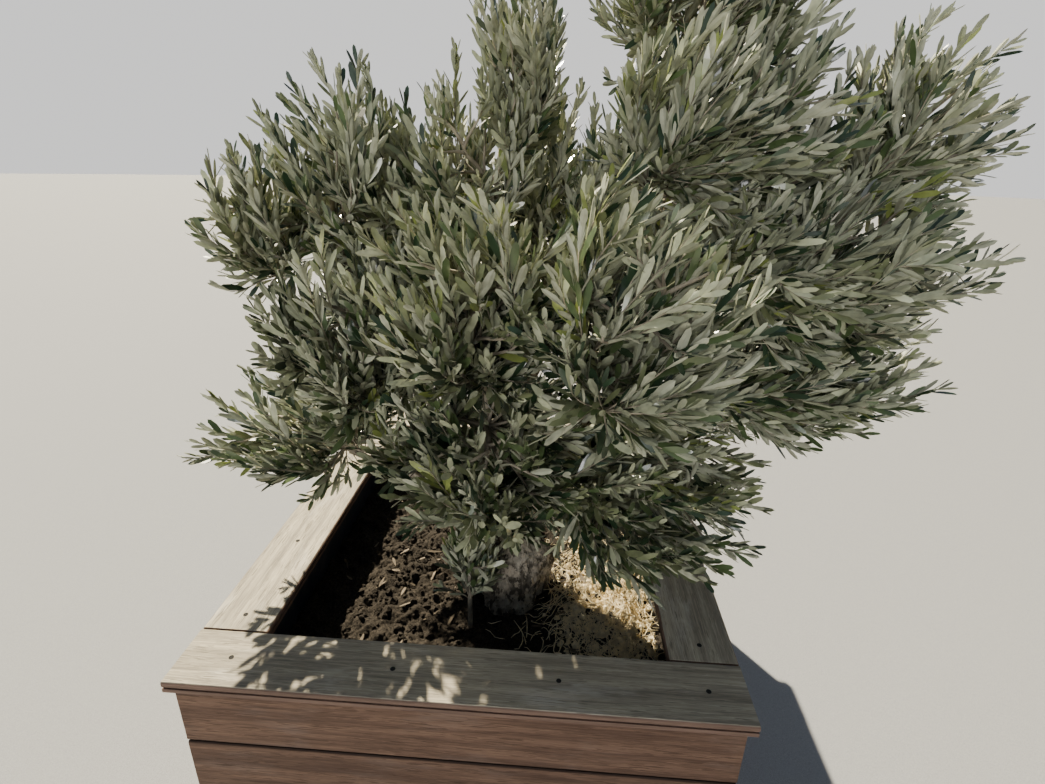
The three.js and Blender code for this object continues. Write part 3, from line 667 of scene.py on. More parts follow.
# The masses' spaces: centre, half sizes and the unit way of growth of each
SPACES = {
    mass: (np.array(centre), np.array(half), unit(growth)) for mass, (centre, half, growth) in MASSES.items()
}


def soil_top():
    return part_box("trunk")[0][2] - CLEAR


def cap_top():
    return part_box("cap_front")[1][2]


def over_soil(places, margin):
    """True where a place is over the soil, and at least so far from its edge."""
    low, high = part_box("soil")
    return ((places > np.array(low[:2]) + margin) & (places < np.array(high[:2]) - margin)).all(axis=1)


def reach_of(half, way):
    """How far an ellipsoid reaches from its centre in one direction."""
    return 1 / np.linalg.norm(way / half)


def trunk_radius(way, angle):
    """Radius of the trunk: a taper, times 1 + root flares + belly + burls, times a round head."""
    flare, belly, dome = TRUNK["flare"], TRUNK["belly"], TRUNK["dome"]
    share = np.minimum(1, way * TRUNK["thinning"])
    body = TRUNK["radius"] + (TRUNK["head_radius"] - TRUNK["radius"]) * share
    ridge = flare["even"] + flare["ridge"] * np.cos(flare["ridges"] * angle + flare["turn"])
    swell = 1 + flare["size"] * (1 - way) ** flare["fade"] * ridge
    swell = swell + belly["size"] * np.exp(-((way - belly["at"]) / belly["spread"]) ** 2)
    for burl in TRUNK["burls"]:
        swell = swell + burl["size"] * np.sin(burl["lobes"] * angle + burl["twist"] * way + burl["turn"])
    head = np.sqrt(np.maximum(0, 1 - np.maximum(0, (way - dome["start"]) / dome["length"]) ** 2))
    return body * swell * head


def lay_trunk():
    (x, y), (lean_x, lean_y) = TRUNK["foot"], TRUNK["lean"]
    foot = (x, y, soil_top() + CLEAR)
    head = (x + lean_x, y + lean_y, soil_top() + TRUNK["height"])
    return Limb(foot, UP, head, UP, 0, SEED["trunk"])


def lay_boughs():
    """The axis of each limb, by name, worked out by the part's rule."""
    limbs = {"trunk": lay_trunk()}
    for index, (name, (parent, at, _, _, feeds)) in enumerate(BOUGHS.items()):
        start = limbs[parent].at(at)
        goal = np.mean([SPACES[mass][0] for mass in feeds], axis=0)
        way = unit(goal - start)
        reach = np.mean([reach_of(SPACES[mass][1], way) for mass in feeds])
        tip = goal - way * BOUGH["short"] * reach
        if parent == "trunk":
            level = unit(way * (1, 1, 0))
            start_way = unit(level * BOUGH["out"] + UP * BOUGH["rise"])
        else:
            start_way = unit(limbs[parent].tangent(at) * BOUGH["along"] + way * BOUGH["out"])
        limbs[name] = Limb(start, start_way, tip, way, BOUGH["sway"], SEED["boughs"] + index)
    return limbs


def growth_field(points):
    """The growth at places: the masses' ways weighted by exp(-fade * d^2), with d the share of a space."""
    total = np.zeros_like(points)
    for centre, half, growth in SPACES.values():
        shares = ((points - centre) / half) ** 2
        total += np.exp(-GROWTH_FADE * shares.sum(axis=1))[:, None] * growth
    return unit(total)


def lay_stem(mass, limbs):
    """The stem of a mass, from its bough's tip or the soil to past the middle of its space."""
    centre, half, growth = SPACES[mass]
    start, start_way = np.array([centre[0], centre[1], soil_top() + CLEAR]), UP
    for name, (_, _, _, _, feeds) in BOUGHS.items():
        if mass in feeds:
            start_way = limbs[name].tangent(1.0)
            start = limbs[name].at(1.0) - start_way * STEM["thick"]
            for other in feeds:
                if other != mass:
                    aside = centre - SPACES[other][0]
                    aside = unit(aside - start_way * aside.dot(start_way))
                    start = start + aside * STEM["thick"] / 2
    end = centre + growth * STEM["past"] * reach_of(half, growth)
    seed = SEED["stems"] + list(MASSES).index(mass)
    return Limb(start, start_way, end, growth, STEM["sway"], seed)


def even_points(count, rng):
    """Points spread evenly through a ball of size 1, by a sequence whose steps are powers of one number."""
    steps = np.arange(1, 3 * count + 20)[:, None] / EVEN_STEP ** np.arange(1, 4)
    points = 2 * ((rng.uniform(size=3) + steps) % 1) - 1
    return points[np.linalg.norm(points, axis=1) < 1][:count]


def goals_in(mass, count, low, high, rng):
    """Goals in a space, from the share low of its half sizes at the middle to high at its rim."""
    centre, half, _ = SPACES[mass]
    out = even_points(count, rng)
    size = np.linalg.norm(out, axis=1, keepdims=True)
    return centre + unit(out) * (low + (high - low) * size) * half


def clumped(goals, mass, rng):
    """The goals that are kept: odds of middle + swing * noise, which fall to nothing past a space's rim.

    Each is then moved along the growth by another noise, so that the outline is ragged.
    """
    centre, half, growth = SPACES[mass]
    share = np.linalg.norm((goals - centre) / half, axis=1)
    noise = waves(goals, CLUMP["size"], SEED["clumps"])
    odds = np.clip(CLUMP["middle"] + CLUMP["swing"] * noise, CLUMP["least"], 1)
    odds = odds * np.clip((CLUMP["gone"] - share) / (CLUMP["gone"] - CLUMP["full"]), 0, 1)
    kept = goals[rng.uniform(size=len(goals)) < odds]
    return kept + growth * (CLUMP["reach"] * waves(kept, CLUMP["reach_size"], SEED["ragged"]))[:, None]


def twig_curves(stem, goals, growth):
    """Controls of the twigs from a stem to their goals, each leaving it before it is level with its goal."""
    foot = stem.at(0.0)
    axis = unit(stem.at(1.0) - foot)
    ahead = (goals - foot) @ axis
    aside = np.sqrt(np.maximum(0, ((goals - foot) ** 2).sum(axis=1) - ahead ** 2))
    at = np.clip((ahead - TWIG["ahead"] * aside) / stem.length, TWIG["first"], TWIG["last"])
    start = stem.at(at)
    straight = unit(goals - start)
    start_way = unit(stem.tangent(at) * TWIG["along"] + straight)
    return handles(start, start_way, goals, unit(straight + growth * TWIG["upturn"]))


def shoot_curves(places, tangents, goals, centre, rng):
    """Controls of the shoots, which end along the growth, a little outwards, and wander by smooth noise.

    Each leaves the place on a twig that lies nearest to a point some way behind its goal.
    """
    outward = unit(goals - centre) * SHOOT["outward"]
    wander = [waves(goals, SHOOT["wander_size"], SEED["wander"] + axis) for axis in range(3)]
    wander = np.stack(wander, axis=1)
    final = growth_field(goals) + outward + wander * SHOOT["wander"]
    final = unit(final + rng.normal(scale=SHOOT["jitter"], size=goals.shape))
    behind = goals - final * SHOOT["back"] * rng.uniform(SHOOT["near"], SHOOT["far"], (len(goals), 1))
    distance = np.linalg.norm(behind[:, None] - places[None], axis=2)
    chosen = distance.argmin(axis=1)
    start, way = places[chosen], tangents[chosen]
    span = np.linalg.norm(goals - start, axis=1)
    kept = (span < SHOOT["longest"]) & (span > SHOOT["back"] / 3)
    start, way, end, final = start[kept], way[kept], goals[kept], final[kept]
    straight = unit(end - start)
    start_way = unit(way * SHOOT["along"] + straight)
    return handles(start, start_way, end, unit(straight + final * SHOOT["upturn"]))


# Leaves

LEAF_STATIONS = np.array([0.17, 0.56, 0.88])
LEAF_WIDTHS = np.array([0.52, 1.0, 0.72])
LEAF_THICK = 0.0011
LEAF_KEEL = 0.10
LEAF_UPPER_SIDES = np.array([False, False, True])
# How far a leaf's tip droops, as the mean and the spread of its share of the length
LEAF_DROOP = (0.05, 0.07)
# The share of leaves whose tone isn't their spray's
STRAY_TONES = 0.3
# Pairs of leaves: their step, how they stray along the shoot, how they turn, spread and face, and how their
# size changes, most of all towards the tip
PAIR = {
    "step": 0.0185, "least": 3, "first": 0.9, "stray": 0.2, "last": 0.15, "bare": 0.1,
    "turn": 0.25, "spread": (0.2, 0.72), "open": 1.1, "closing": 0.45, "lift": 0.08, "jitter": 0.06,
    "face_lift": 0.35, "face_jitter": 0.45,
    "size": (0.72, 1.12), "tip": 0.45, "lowest": 0.75, "slimness": 0.7, "width": (0.85, 1.15),
}


def leaf_bodies(roots, ways, faces, lengths, widths, droops):
    """Thin closed leaves: three three-point rings and two poles, on a midrib that droops by the way squared.

    A ring is right edge, lower midrib and left edge. The upper face is flat, and the lower midrib stands out.
    """
    across = unit(np.cross(ways, faces))
    faces = np.cross(across, ways)
    stations = np.concatenate([LEAF_STATIONS, [0.0, 1.0]])
    along = roots[:, None] + ways[:, None] * (lengths[:, None] * stations)[..., None]
    drop = (droops * lengths)[:, None] * stations ** 2
    rib = along - faces[:, None] * drop[..., None]
    half = widths[:, None] * LEAF_WIDTHS / 2
    side = np.stack([half, 0 * half, -half], axis=-1)
    rise = np.stack([0 * half, -LEAF_THICK - LEAF_KEEL * half, 0 * half], axis=-1)
    rings = rib[:, :3, None] + side[..., None] * across[:, None, None]
    rings = rings + rise[..., None] * faces[:, None, None]
    count = len(roots)
    vertices = np.concatenate([rings.reshape(count, 9, 3), rib[:, 3:4], rib[:, 4:5]], axis=1)
    return vertices.reshape(-1, 3), tube_triangles(3, 3, count)


def leaf_sides():
    """True for each triangle of a leaf that is on its upper face: the walls, then the two caps."""
    walls = np.repeat(np.tile(LEAF_UPPER_SIDES, 2), 2)
    return np.concatenate([walls, LEAF_UPPER_SIDES, LEAF_UPPER_SIDES])


def allowed(points, mass, kind):
    """True where a point is no further past its space than its kind may be, and clear of caps and soil."""
    centre, half, _ = SPACES[mass]
    past = PAST[kind] * TRIM.get(mass, 1)
    inside = (((points - centre) / (half + past)) ** 2).sum(axis=1) <= 1
    opening = over_soil(points[:, :2], KEPT_OFF["liner"])
    floor = np.where(opening, soil_top() + KEPT_OFF["soil"], cap_top() + KEPT_OFF["caps"])
    return inside & (points[:, 2] > floor)


def leaf_pairs(controls, rng, settings):
    """Opposite pairs of leaves along the shoots, each pair a quarter turn from the last.

    Gives roots, ways, faces, lengths, widths and the shoot of each leaf.
    """
    spans = np.linalg.norm(controls[:, 3] - controls[:, 0], axis=1)
    parts = []
    for shoot, span in enumerate(spans):
        pairs = max(PAIR["least"], int(span / PAIR["step"]))
        stray = rng.uniform(-PAIR["stray"], PAIR["stray"], pairs)
        t = (np.arange(pairs) + PAIR["first"] + stray) / (pairs + PAIR["last"])
        parts.append(np.stack([np.full(pairs, shoot), np.minimum(t, 1.0), np.arange(pairs)], axis=1))
    shoots, ways_along, number = np.concatenate(parts).T
    shoots = shoots.astype(int)
    keep = ways_along > PAIR["bare"]
    shoots, ways_along, number = shoots[keep], ways_along[keep], number[keep]
    own = controls[shoots]
    place = np.einsum("nk,nkc->nc", cubic_weights(ways_along), own)
    tangent = unit(np.einsum("nk,nkc->nc", slope_weights(ways_along), np.diff(own, axis=1)))
    roll = rng.uniform(0, 2 * np.pi, len(controls))[shoots] + number * np.pi / 2
    normal = unit(np.cross(tangent, np.cross(UP + 0.3, tangent) + 1e-6))
    binormal = np.cross(tangent, normal)
    out = []
    for side in (0, np.pi):
        angle = roll + side + rng.normal(scale=PAIR["turn"], size=len(roll))
        outward = np.cos(angle)[:, None] * normal + np.sin(angle)[:, None] * binormal
        spread = rng.uniform(*PAIR["spread"], len(roll)) * (PAIR["open"] - PAIR["closing"] * ways_along)
        way = tangent * np.cos(spread)[:, None] + outward * np.sin(spread)[:, None]
        way = unit(way + UP * PAIR["lift"] + rng.normal(scale=PAIR["jitter"], size=way.shape))
        face = tangent + UP * PAIR["face_lift"] + rng.normal(scale=PAIR["face_jitter"], size=way.shape)
        lowest = PAIR["lowest"] + (1 - PAIR["lowest"]) * np.minimum(1, number)
        size = rng.uniform(*PAIR["size"], len(roll)) * (1 - PAIR["tip"] * ways_along ** 4) * lowest
        lengths = settings.leaf_length * size
        widths = settings.leaf_width * size ** PAIR["slimness"] * rng.uniform(*PAIR["width"], len(roll))
        out.append((place, way, face, lengths, widths, shoots))
    return [np.concatenate(values) for values in zip(*out)]


def grow_mass(mass, limbs, settings, finishes):
    """One mass of foliage: stem, twigs, shoots and leaves, in two pieces that stand for the part's solid."""
    centre, _, growth = SPACES[mass]
    rng = np.random.default_rng(SEED["masses"] + list(MASSES).index(mass))
    rooms = {name: float(np.prod(size)) ** (2 / 3) for name, (_, size, _) in MASSES.items()}
    share = rooms[mass] / sum(rooms.values())
    shoot_count = max(SHOOT["least"], round(settings.shoots * share * FULLNESS.get(mass, 1)))
    twig_count = max(TWIG["least"], round(shoot_count / TWIG["shoots"]))
    stem = lay_stem(mass, limbs)
    twigs = twig_curves(stem, goals_in(mass, twig_count, TWIG["from"], TWIG["to"], rng), growth)
    stations = np.linspace(*TWIG["places"])
    stem_ways = np.linspace(*STEM["places"])
    places = np.concatenate([bezier(twigs, stations).reshape(-1, 3), stem.at(stem_ways)])
    tangents = np.concatenate([bezier_tangents(twigs, stations).reshape(-1, 3), stem.tangent(stem_ways)])
    goals = goals_in(mass, round(SHOOT["tries"] * shoot_count), SHOOT["from"], SHOOT["to"], rng)
    goals = clumped(goals, mass, rng)[:shoot_count]
    shoots = shoot_curves(places, tangents, goals, centre, rng)
    shoots = shoots[allowed(shoots[:, 3], mass, "shoot")]

    roots, ways, faces, lengths, widths, owners = leaf_pairs(np.concatenate([shoots, twigs]), rng, settings)
    on_twig = owners >= len(shoots)
    off_bough = np.linalg.norm(roots - stem.at(0.0), axis=1) > TWIG["bare"]
    kept = allowed(roots + ways * lengths[:, None], mass, "leaf")
    kept &= allowed(roots, mass, "root")
    kept &= ~on_twig | (off_bough & (rng.uniform(size=len(roots)) < TWIG["leafy"]))
    roots, ways, faces, lengths, widths, owners = (
        values[kept] for values in (roots, ways, faces, lengths, widths, owners))
    droops = rng.normal(*LEAF_DROOP, len(roots))
    shape = leaf_bodies(roots, ways, unit(faces), lengths, widths, droops)

    odds = np.array([tone[3] for tone in LEAF_TONES.values()])
    spray_tone = rng.choice(len(odds), size=owners.max() + 1, p=odds / odds.sum())
    strays = rng.uniform(size=len(owners)) < STRAY_TONES
    own_tone = np.where(strays, rng.choice(len(odds) - 1, size=len(owners)), spray_tone[owners])
    under = len(odds) + rng.integers(0, len(UNDER_TONES), owners.max() + 1)[owners]
    indices = np.where(leaf_sides()[None], own_tone[:, None], under[:, None]).ravel()
    leaves = make_piece(f"{mass}_leaves", shape, finishes["leaves"], indices, smooth=False)
    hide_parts(f"{mass}_foliage")

    wood = [limb_tube(stem, STEM)]
    for controls, kind in ((twigs, TWIG), (shoots, SHOOT)):
        steps = np.linspace(0, 1, kind["rings"])
        radii = np.tile(taper(kind["thick"], kind["thin"], steps), (len(controls), 1))
        points, tangents = bezier(controls, steps), bezier_tangents(controls, steps)
        wood.append(tubes(points, tangents, radii, kind["sides"], unit(rng.normal(size=3))))
    piece = make_piece(f"{mass}_twigs", join(wood), [finishes["twig"]])
    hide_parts(f"{mass}_foliage")


def join(parts):
    """Several meshes of vertices and triangles as one."""
    starts = np.cumsum([0] + [len(vertices) for vertices, _ in parts[:-1]])
    vertices = np.concatenate([vertices for vertices, _ in parts])
    return vertices, np.concatenate([triangles + start for (_, triangles), start in zip(parts, starts)])


def taper(thick, thin, ways):
    """Radii that go evenly from half of one thickness to half of another."""
    return (thick + (thin - thick) * ways) / 2


def limb_tube(limb, kind):
    """A plain tapering tube along a limb."""
    ways = np.linspace(0, 1, kind["rings"])
    radii = taper(kind["thick"], kind["thin"], ways)[None]
    tangents = limb.tangent(ways)[None]
    return tubes(limb.at(ways)[None], tangents, radii, kind["sides"], steady_side(tangents[0]))


def steady_side(tangents):
    """A direction well aside of a whole limb, to turn its rings by."""
    mean = unit(tangents.mean(axis=0))
    return unit(np.cross(mean, (0.37, 0.61, 0.13)))


# Bark

def bark_tube(limb, radius_at, sides, rings, relief, seed, scale):
    """A limb with the bark's relief: its radius plus ridges of 1 - |noise| along it, lumps and grain.

    The relief fades where the limb is thin and its bark is young.
    """
    ways = np.linspace(0, 1, rings)
    points, tangents = limb.at(ways)[None], limb.tangent(ways)[None]
    side_way = steady_side(tangents[0])
    radii = np.broadcast_to(radius_at(ways[:, None], turns(sides)[None]), (rings, sides))
    surface = points[0][:, None] + radii[..., None] * round_ways(tangents, side_way, sides)[0]
    drawn = surface * BARK["drawn"]
    ridges = BARK["ridges"] * np.clip(1 - np.abs(waves(drawn, scale, seed)), BARK["deepest"], 1)
    lumps = BARK["lumps"] * waves(surface, BARK["lump_size"] * scale, seed + 1)
    grain = BARK["grain"] * waves(drawn, BARK["grain_size"] * scale, seed + 2)
    height = relief * (ridges + lumps + grain - BARK["sunk"])
    fade = np.minimum(1, radii / (BARK["young"] * radii.max()))
    return tubes(points, tangents, (radii + height * fade)[None], sides, side_way)


# Knobs and hollows of the old trunk: the way up it, the angle round it from the right by the back, the size
# across, and how far it stands out or goes in
KNOBS = (
    (0.30, -1.15, 0.050, 0.020),
    (0.52, -2.10, 0.045, 0.022),
    (0.16, -1.95, 0.040, 0.014),
    (0.62, -1.30, 0.026, -0.040),
    (0.34, -0.45, 0.040, 0.016),
    (0.40, 2.4, 0.050, 0.020),
    (0.58, 0.9, 0.045, 0.018),
)


def knobbed_radius(ways, angles):
    """The trunk's radius plus the knobs: out * exp(-distance^2), with the distance as a share of the size."""
    radius = trunk_radius(ways, angles)
    total = radius
    for way, angle, across, out in KNOBS:
        turn = (angles - angle + np.pi) % (2 * np.pi) - np.pi
        distance = np.hypot((ways - way) * TRUNK["height"], turn * TRUNK["radius"]) / across
        total = total + out * np.exp(-distance ** 2) * np.minimum(1, radius / TRUNK["head_radius"])
    return total


def bough_mesh(name, limb, relief, seed):
    """A bough: a taper by the part's power, with a collar where it leaves its limb, and knots."""
    _, _, thick, thin, _ = BOUGHS[name]

    def radius_at(ways, angles):
        collar = 1 + BOUGH["collar"] * np.exp(-ways * limb.length / BOUGH["collar_length"])
        knots = 1 + BOUGH["knots"] * np.sin(2 * angles + BOUGH["knot_twist"] * ways * limb.length + seed)
        return taper(thick, thin, ways ** BOUGH["taper_power"]) * collar * knots

    rings = max(BOUGH["rings"], int(limb.length / BOUGH["ring_step"]))
    relief = BOUGH["relief"] * thick * relief / BARK_RELIEF
    return bark_tube(limb, radius_at, BOUGH["sides"], rings, relief, seed, BOUGH["ridge_size"] * thick)


# Soil

def soil_height(x, y, relief):
    """Height of the soil: its level, lumps of three sizes, a mound round the trunk and a heap at the right.

    The mound and the heap are each height * exp(-distance^2).
    """
    mound, heap = SOIL["mound"], SOIL["heap"]
    foot = np.hypot(x - TRUNK["foot"][0], y - TRUNK["foot"][1]) / mound["radius"]
    (middle_x, middle_y), (spread_x, spread_y) = heap["middle"], heap["spread"]
    heaped = np.exp(-((x - middle_x) / spread_x) ** 2 - ((y - middle_y) / spread_y) ** 2)
    flat = np.stack([x, y, 0 * x], axis=-1)
    lumps = 0
    for index, (size, share) in enumerate(SOIL["lumps"]):
        lumps = lumps + waves(flat, size, SEED["soil"] + index) * share
    raised = mound["height"] * np.exp(-foot ** 2)
    return soil_top() + relief * lumps + raised + heap["height"] * heaped + SOIL["rise"]


def on_soil(places, relief, above=0.0):
    """Points on the soil at places, or so far above it."""
    return np.concatenate([places, soil_height(places[:, :1], places[:, 1:], relief) + above], axis=1)


def height_block(low, high, floor, height_at, columns, rows):
    """A closed block: its top is a height over a grid, and its flat underside is a fan round the middle."""
    x, y = np.linspace(low[0], high[0], columns), np.linspace(low[1], high[1], rows)
    x, y = np.meshgrid(x, y, indexing="ij")
    top = np.stack([x, y, height_at(x, y)], axis=-1).reshape(-1, 3)
    rim = np.concatenate([
        np.arange(columns) * rows, (columns - 1) * rows + np.arange(1, rows),
        (np.arange(columns - 2, -1, -1)) * rows + rows - 1, np.arange(rows - 2, 0, -1)])
    under = top[rim] * (1, 1, 0) + (0, 0, floor)
    middle = under.mean(axis=0, keepdims=True)
    i, j = np.meshgrid(np.arange(columns - 1), np.arange(rows - 1), indexing="ij")
    a = (i * rows + j).ravel()
    b, c, d = a + rows, a + rows + 1, a + 1
    faces = [corners(a, b, c), corners(a, c, d)]
    low_rim = len(top) + np.arange(len(rim))
    following, low_following = np.roll(rim, -1), np.roll(low_rim, -1)
    centre = np.full(len(rim), len(top) + len(rim))
    faces += [corners(rim, low_rim, low_following), corners(rim, low_following, following)]
    faces.append(corners(centre, low_following, low_rim))
    return np.concatenate([top, under, middle]), np.concatenate(faces)


def scatter(kind, rng):
    """Random places on the soil for a kind of litter, kept off the trunk and the liner."""
    count, middle, spread, _ = STREWN[kind]
    places = rng.normal(middle, spread, (count * 3, 2))
    off_trunk = np.hypot(*(places - TRUNK["foot"]).T) > KEPT_OFF["trunk"]
    return places[over_soil(places, KEPT_OFF["edge"]) & off_trunk][:count]


def straws(rng, relief):
    """Thin dry stalks that lie on the soil: flat tubes along low arcs."""
    places = scatter("straws", rng)
    count = len(places)
    turn = rng.uniform(0, 2 * np.pi, count)
    length = rng.uniform(0.015, 0.08, count)
    bend = rng.normal(0, 0.6, count)
    steps = np.linspace(-0.5, 0.5, 5)
    heading = turn[:, None] + bend[:, None] * steps
    x = places[:, :1] + np.cos(heading) * steps * length[:, None]
    y = places[:, 1:] + np.sin(heading) * steps * length[:, None]
    lift = rng.uniform(0.002, 0.016, count)[:, None] * (1 + steps * rng.normal(0, 0.8, count)[:, None])
    points = np.stack([x, y, soil_height(x, y, relief) + np.abs(lift)], axis=-1)
    tangents = unit(np.gradient(points, axis=1))
    radii = np.tile(np.array([0.5, 1, 1, 0.9, 0.4]) * STREWN["straws"][3], (count, 1))
    return tubes(points, tangents, radii, 4, UP)


def clods(kind, rng, relief):
    """Lumps on the soil: five-sided beads of uneven size, half sunk."""
    places = scatter(kind, rng)
    count, grain = len(places), STREWN[kind][3]
    size = rng.gamma(2.2, grain, count) + 0.7 * grain
    ways = unit(rng.normal(size=(count, 3)))
    steps = np.array([-0.85, -0.35, 0.35, 0.85])
    points = on_soil(places, relief)[:, None] + ways[:, None] * (steps[None, :, None] * size[:, None, None])
    tangents = np.repeat(ways[:, None], 4, axis=1)
    radii = size[:, None, None] * np.array([0.45, 0.95, 0.9, 0.4])[None, :, None]
    radii = radii * rng.uniform(0.7, 1.15, (count, 4, 5))
    return tubes(points, tangents, radii, 5, unit((0.3, 0.5, 0.81)))


def fallen_leaves(rng, relief, settings):
    """Dry leaves that lie flat on the soil."""
    places = scatter("leaves", rng)
    count = len(places)
    turn = rng.uniform(0, 2 * np.pi, count)
    roots = on_soil(places, relief, 0.004)
    ways = np.stack([np.cos(turn), np.sin(turn), rng.normal(0, 0.12, count)], axis=-1)
    faces = UP + rng.normal(0, 0.25, (count, 3))
    lengths = settings.leaf_length * rng.uniform(0.45, 0.8, count)
    widths = settings.leaf_width * rng.uniform(0.45, 0.75, count)
    return leaf_bodies(roots, unit(ways), unit(faces), lengths, widths, rng.normal(0.1, 0.15, count))


# Operators

def finish_node(name, material):
    """Gives a node of the frame its material, in every slot."""
    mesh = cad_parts[name].data
    if not mesh.materials:
        mesh.materials.append(material)
    for index in range(len(mesh.materials)):
        mesh.materials[index] = material


class OLIVE_OT_caps(bpy.types.Operator):
    """Finish the four cap boards in sun-bleached timber"""
    bl_idname = "olive.caps"
    bl_label = "Cap boards"

    def execute(self, context):
        settings = context.scene.olive_planter
        for seed, (side, along, tone) in enumerate((
                ("front", 0, 0.96), ("back", 0, 1.0), ("left", 1, 1.04), ("right", 1, 0.9))):
            finish_node(f"cap_{side}", timber(
                f"cap_{side}_timber", along, settings.cap_colour, settings.cap_dark, tone, seed + 2, 0.5,
                settings.edge_colour))
        return {"FINISHED"}


class OLIVE_OT_boards(bpy.types.Operator):
    """Finish the cladding boards in oiled red-brown timber"""
    bl_idname = "olive.boards"
    bl_label = "Side boards"

    def execute(self, context):
        settings = context.scene.olive_planter
        rng = np.random.default_rng(SEED["boards"])
        for name in sorted(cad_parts):
            if name.startswith("board_"):
                along = 0 if "front" in name or "back" in name else 1
                tone = float(rng.uniform(0.78, 1.15))
                seed = float(rng.uniform(1, 40))
                low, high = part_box(name)
                finish_node(name, timber(
                    f"{name}_timber", along, settings.board_colour, settings.board_dark, tone, seed, 0.25,
                    ends=(low[2], high[2])))
        return {"FINISHED"}


class OLIVE_OT_screws(bpy.types.Operator):
    """Set the sunk screw heads in the cap boards"""
    bl_idname = "olive.screws"
    bl_label = "Cap screws"

    def execute(self, context):
        middle_y = np.mean(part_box("cap_front"), axis=0)[1]
        right_x = np.mean(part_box("cap_right"), axis=0)[0]
        places = [(x, side * middle_y, cap_top()) for x in SCREWS["across"] for side in (1, -1)]
        places += [(side * right_x, y, cap_top()) for y in SCREWS["along"] for side in (1, -1)]
        radii, heights = np.array(SCREWS["rings"]).T
        points = np.repeat(np.array(places)[:, None], len(heights), axis=1)
        points[:, :, 2] += heights
        radii = np.tile(radii * context.scene.olive_planter.screw_radius, (len(places), 1))
        heads = tubes(
            points, np.broadcast_to(UP, points.shape), radii, SCREWS["sides"], np.array([1.0, 0.0, 0.0]))
        # Painted shade: the dull steel heads are coloured near-black, standing in for the shade of their sunk
        # holes.
        steel_and_hole_shade = plain_finish("dull_steel_hole_shade", (0.010, 0.009, 0.008), 0.9, 400)
        make_piece("cap_screws", heads, [steel_and_hole_shade], smooth=False)
        return {"FINISHED"}


class OLIVE_OT_liner(bpy.types.Operator):
    """Finish the tub's dark liner"""
    bl_idname = "olive.liner"
    bl_label = "Liner"

    def execute(self, context):
        finish_node("tub", liner_finish(context.scene.olive_planter.liner_colour))
        return {"FINISHED"}


class OLIVE_OT_soil(bpy.types.Operator):
    """Lay the rough soil in place of the plain block"""
    bl_idname = "olive.soil"
    bl_label = "Soil"

    def execute(self, context):
        settings = context.scene.olive_planter
        low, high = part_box("soil")
        bed = height_block(
            low, high, low[2], lambda x, y: soil_height(x, y, settings.relief), *SOIL["grid"])
        soil = soil_finish(settings.soil_colour)
        piece = make_piece("soil_bed", bed, [soil])
        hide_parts("soil")
        rng = np.random.default_rng(SEED["clods"])
        make_piece("soil_clods", clods("clods", rng, settings.relief), [soil], smooth=False)
        return {"FINISHED"}


class OLIVE_OT_litter(bpy.types.Operator):
    """Strew dry stalks and fallen leaves on the soil"""
    bl_idname = "olive.litter"
    bl_label = "Litter"

    def execute(self, context):
        settings = context.scene.olive_planter
        rng = np.random.default_rng(SEED["litter"])
        chips = clods("chips", rng, settings.relief)
        litter = join([straws(rng, settings.relief), chips])
        straw = plain_finish("dry_stalks", settings.straw_colour, 0.8)
        make_piece("dry_litter", litter, [straw], smooth=False)
        leaves = fallen_leaves(rng, settings.relief, context.scene.olive_tree)
        dry = plain_finish("dry_leaves", (0.15, 0.115, 0.075), 0.8)
        make_piece("fallen_leaves", leaves, [dry], smooth=False)
        return {"FINISHED"}


class OLIVE_OT_wood(bpy.types.Operator):
    """Grow the trunk and the boughs with the relief of old bark"""
    bl_idname = "olive.wood"
    bl_label = "Trunk and boughs"

    def execute(self, context):
        settings = context.scene.olive_tree
        relief, bark = settings.bark_relief, bark_finish(settings.bark_colour)
        limbs = lay_boughs()
        trunk = bark_tube(
            limbs["trunk"], knobbed_radius, TRUNK["sides"], TRUNK["rings"], relief, SEED["trunk_bark"],
            TRUNK["ridge_size"])
        piece = make_piece("trunk_bark", trunk, [bark])
        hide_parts("trunk")
        boughs = [
            bough_mesh(name, limbs[name], relief, SEED["bough_bark"] + 3 * index)
            for index, name in enumerate(BOUGHS)]
        piece = make_piece("bough_bark", join(boughs), [bark])
        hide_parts(*BOUGHS)
        return {"FINISHED"}


class OLIVE_OT_foliage(bpy.types.Operator):
    """Grow the twigs and leaves of every mass of foliage"""
    bl_idname = "olive.foliage"
    bl_label = "Foliage"

    def execute(self, context):
        settings = context.scene.olive_tree
        uppers = [leaf_finish(name, *tone[:3]) for name, tone in LEAF_TONES.items()]
        unders = [leaf_finish(name, *tone) for name, tone in UNDER_TONES.items()]
        finishes = {"leaves": uppers + unders, "twig": twig_finish(settings.twig_colour)}
        limbs = lay_boughs()
        for mass in MASSES:
            grow_mass(mass, limbs, settings, finishes)
        return {"FINISHED"}


def add_sun(name, strength, place, angle, colour):
    """A sun that shines from a place on the middle of the floor."""
    lamp = bpy.data.lights.new(name, "SUN")
    lamp.energy = strength
    lamp.angle = angle
    lamp.color = colour
    back = unit(place)
    side = unit(np.cross(UP, back))
    turn = Matrix(np.stack([side, np.cross(back, side), back], axis=1).tolist()).to_4x4()
    put(name, lamp).matrix_world = Matrix.Translation(place) @ turn


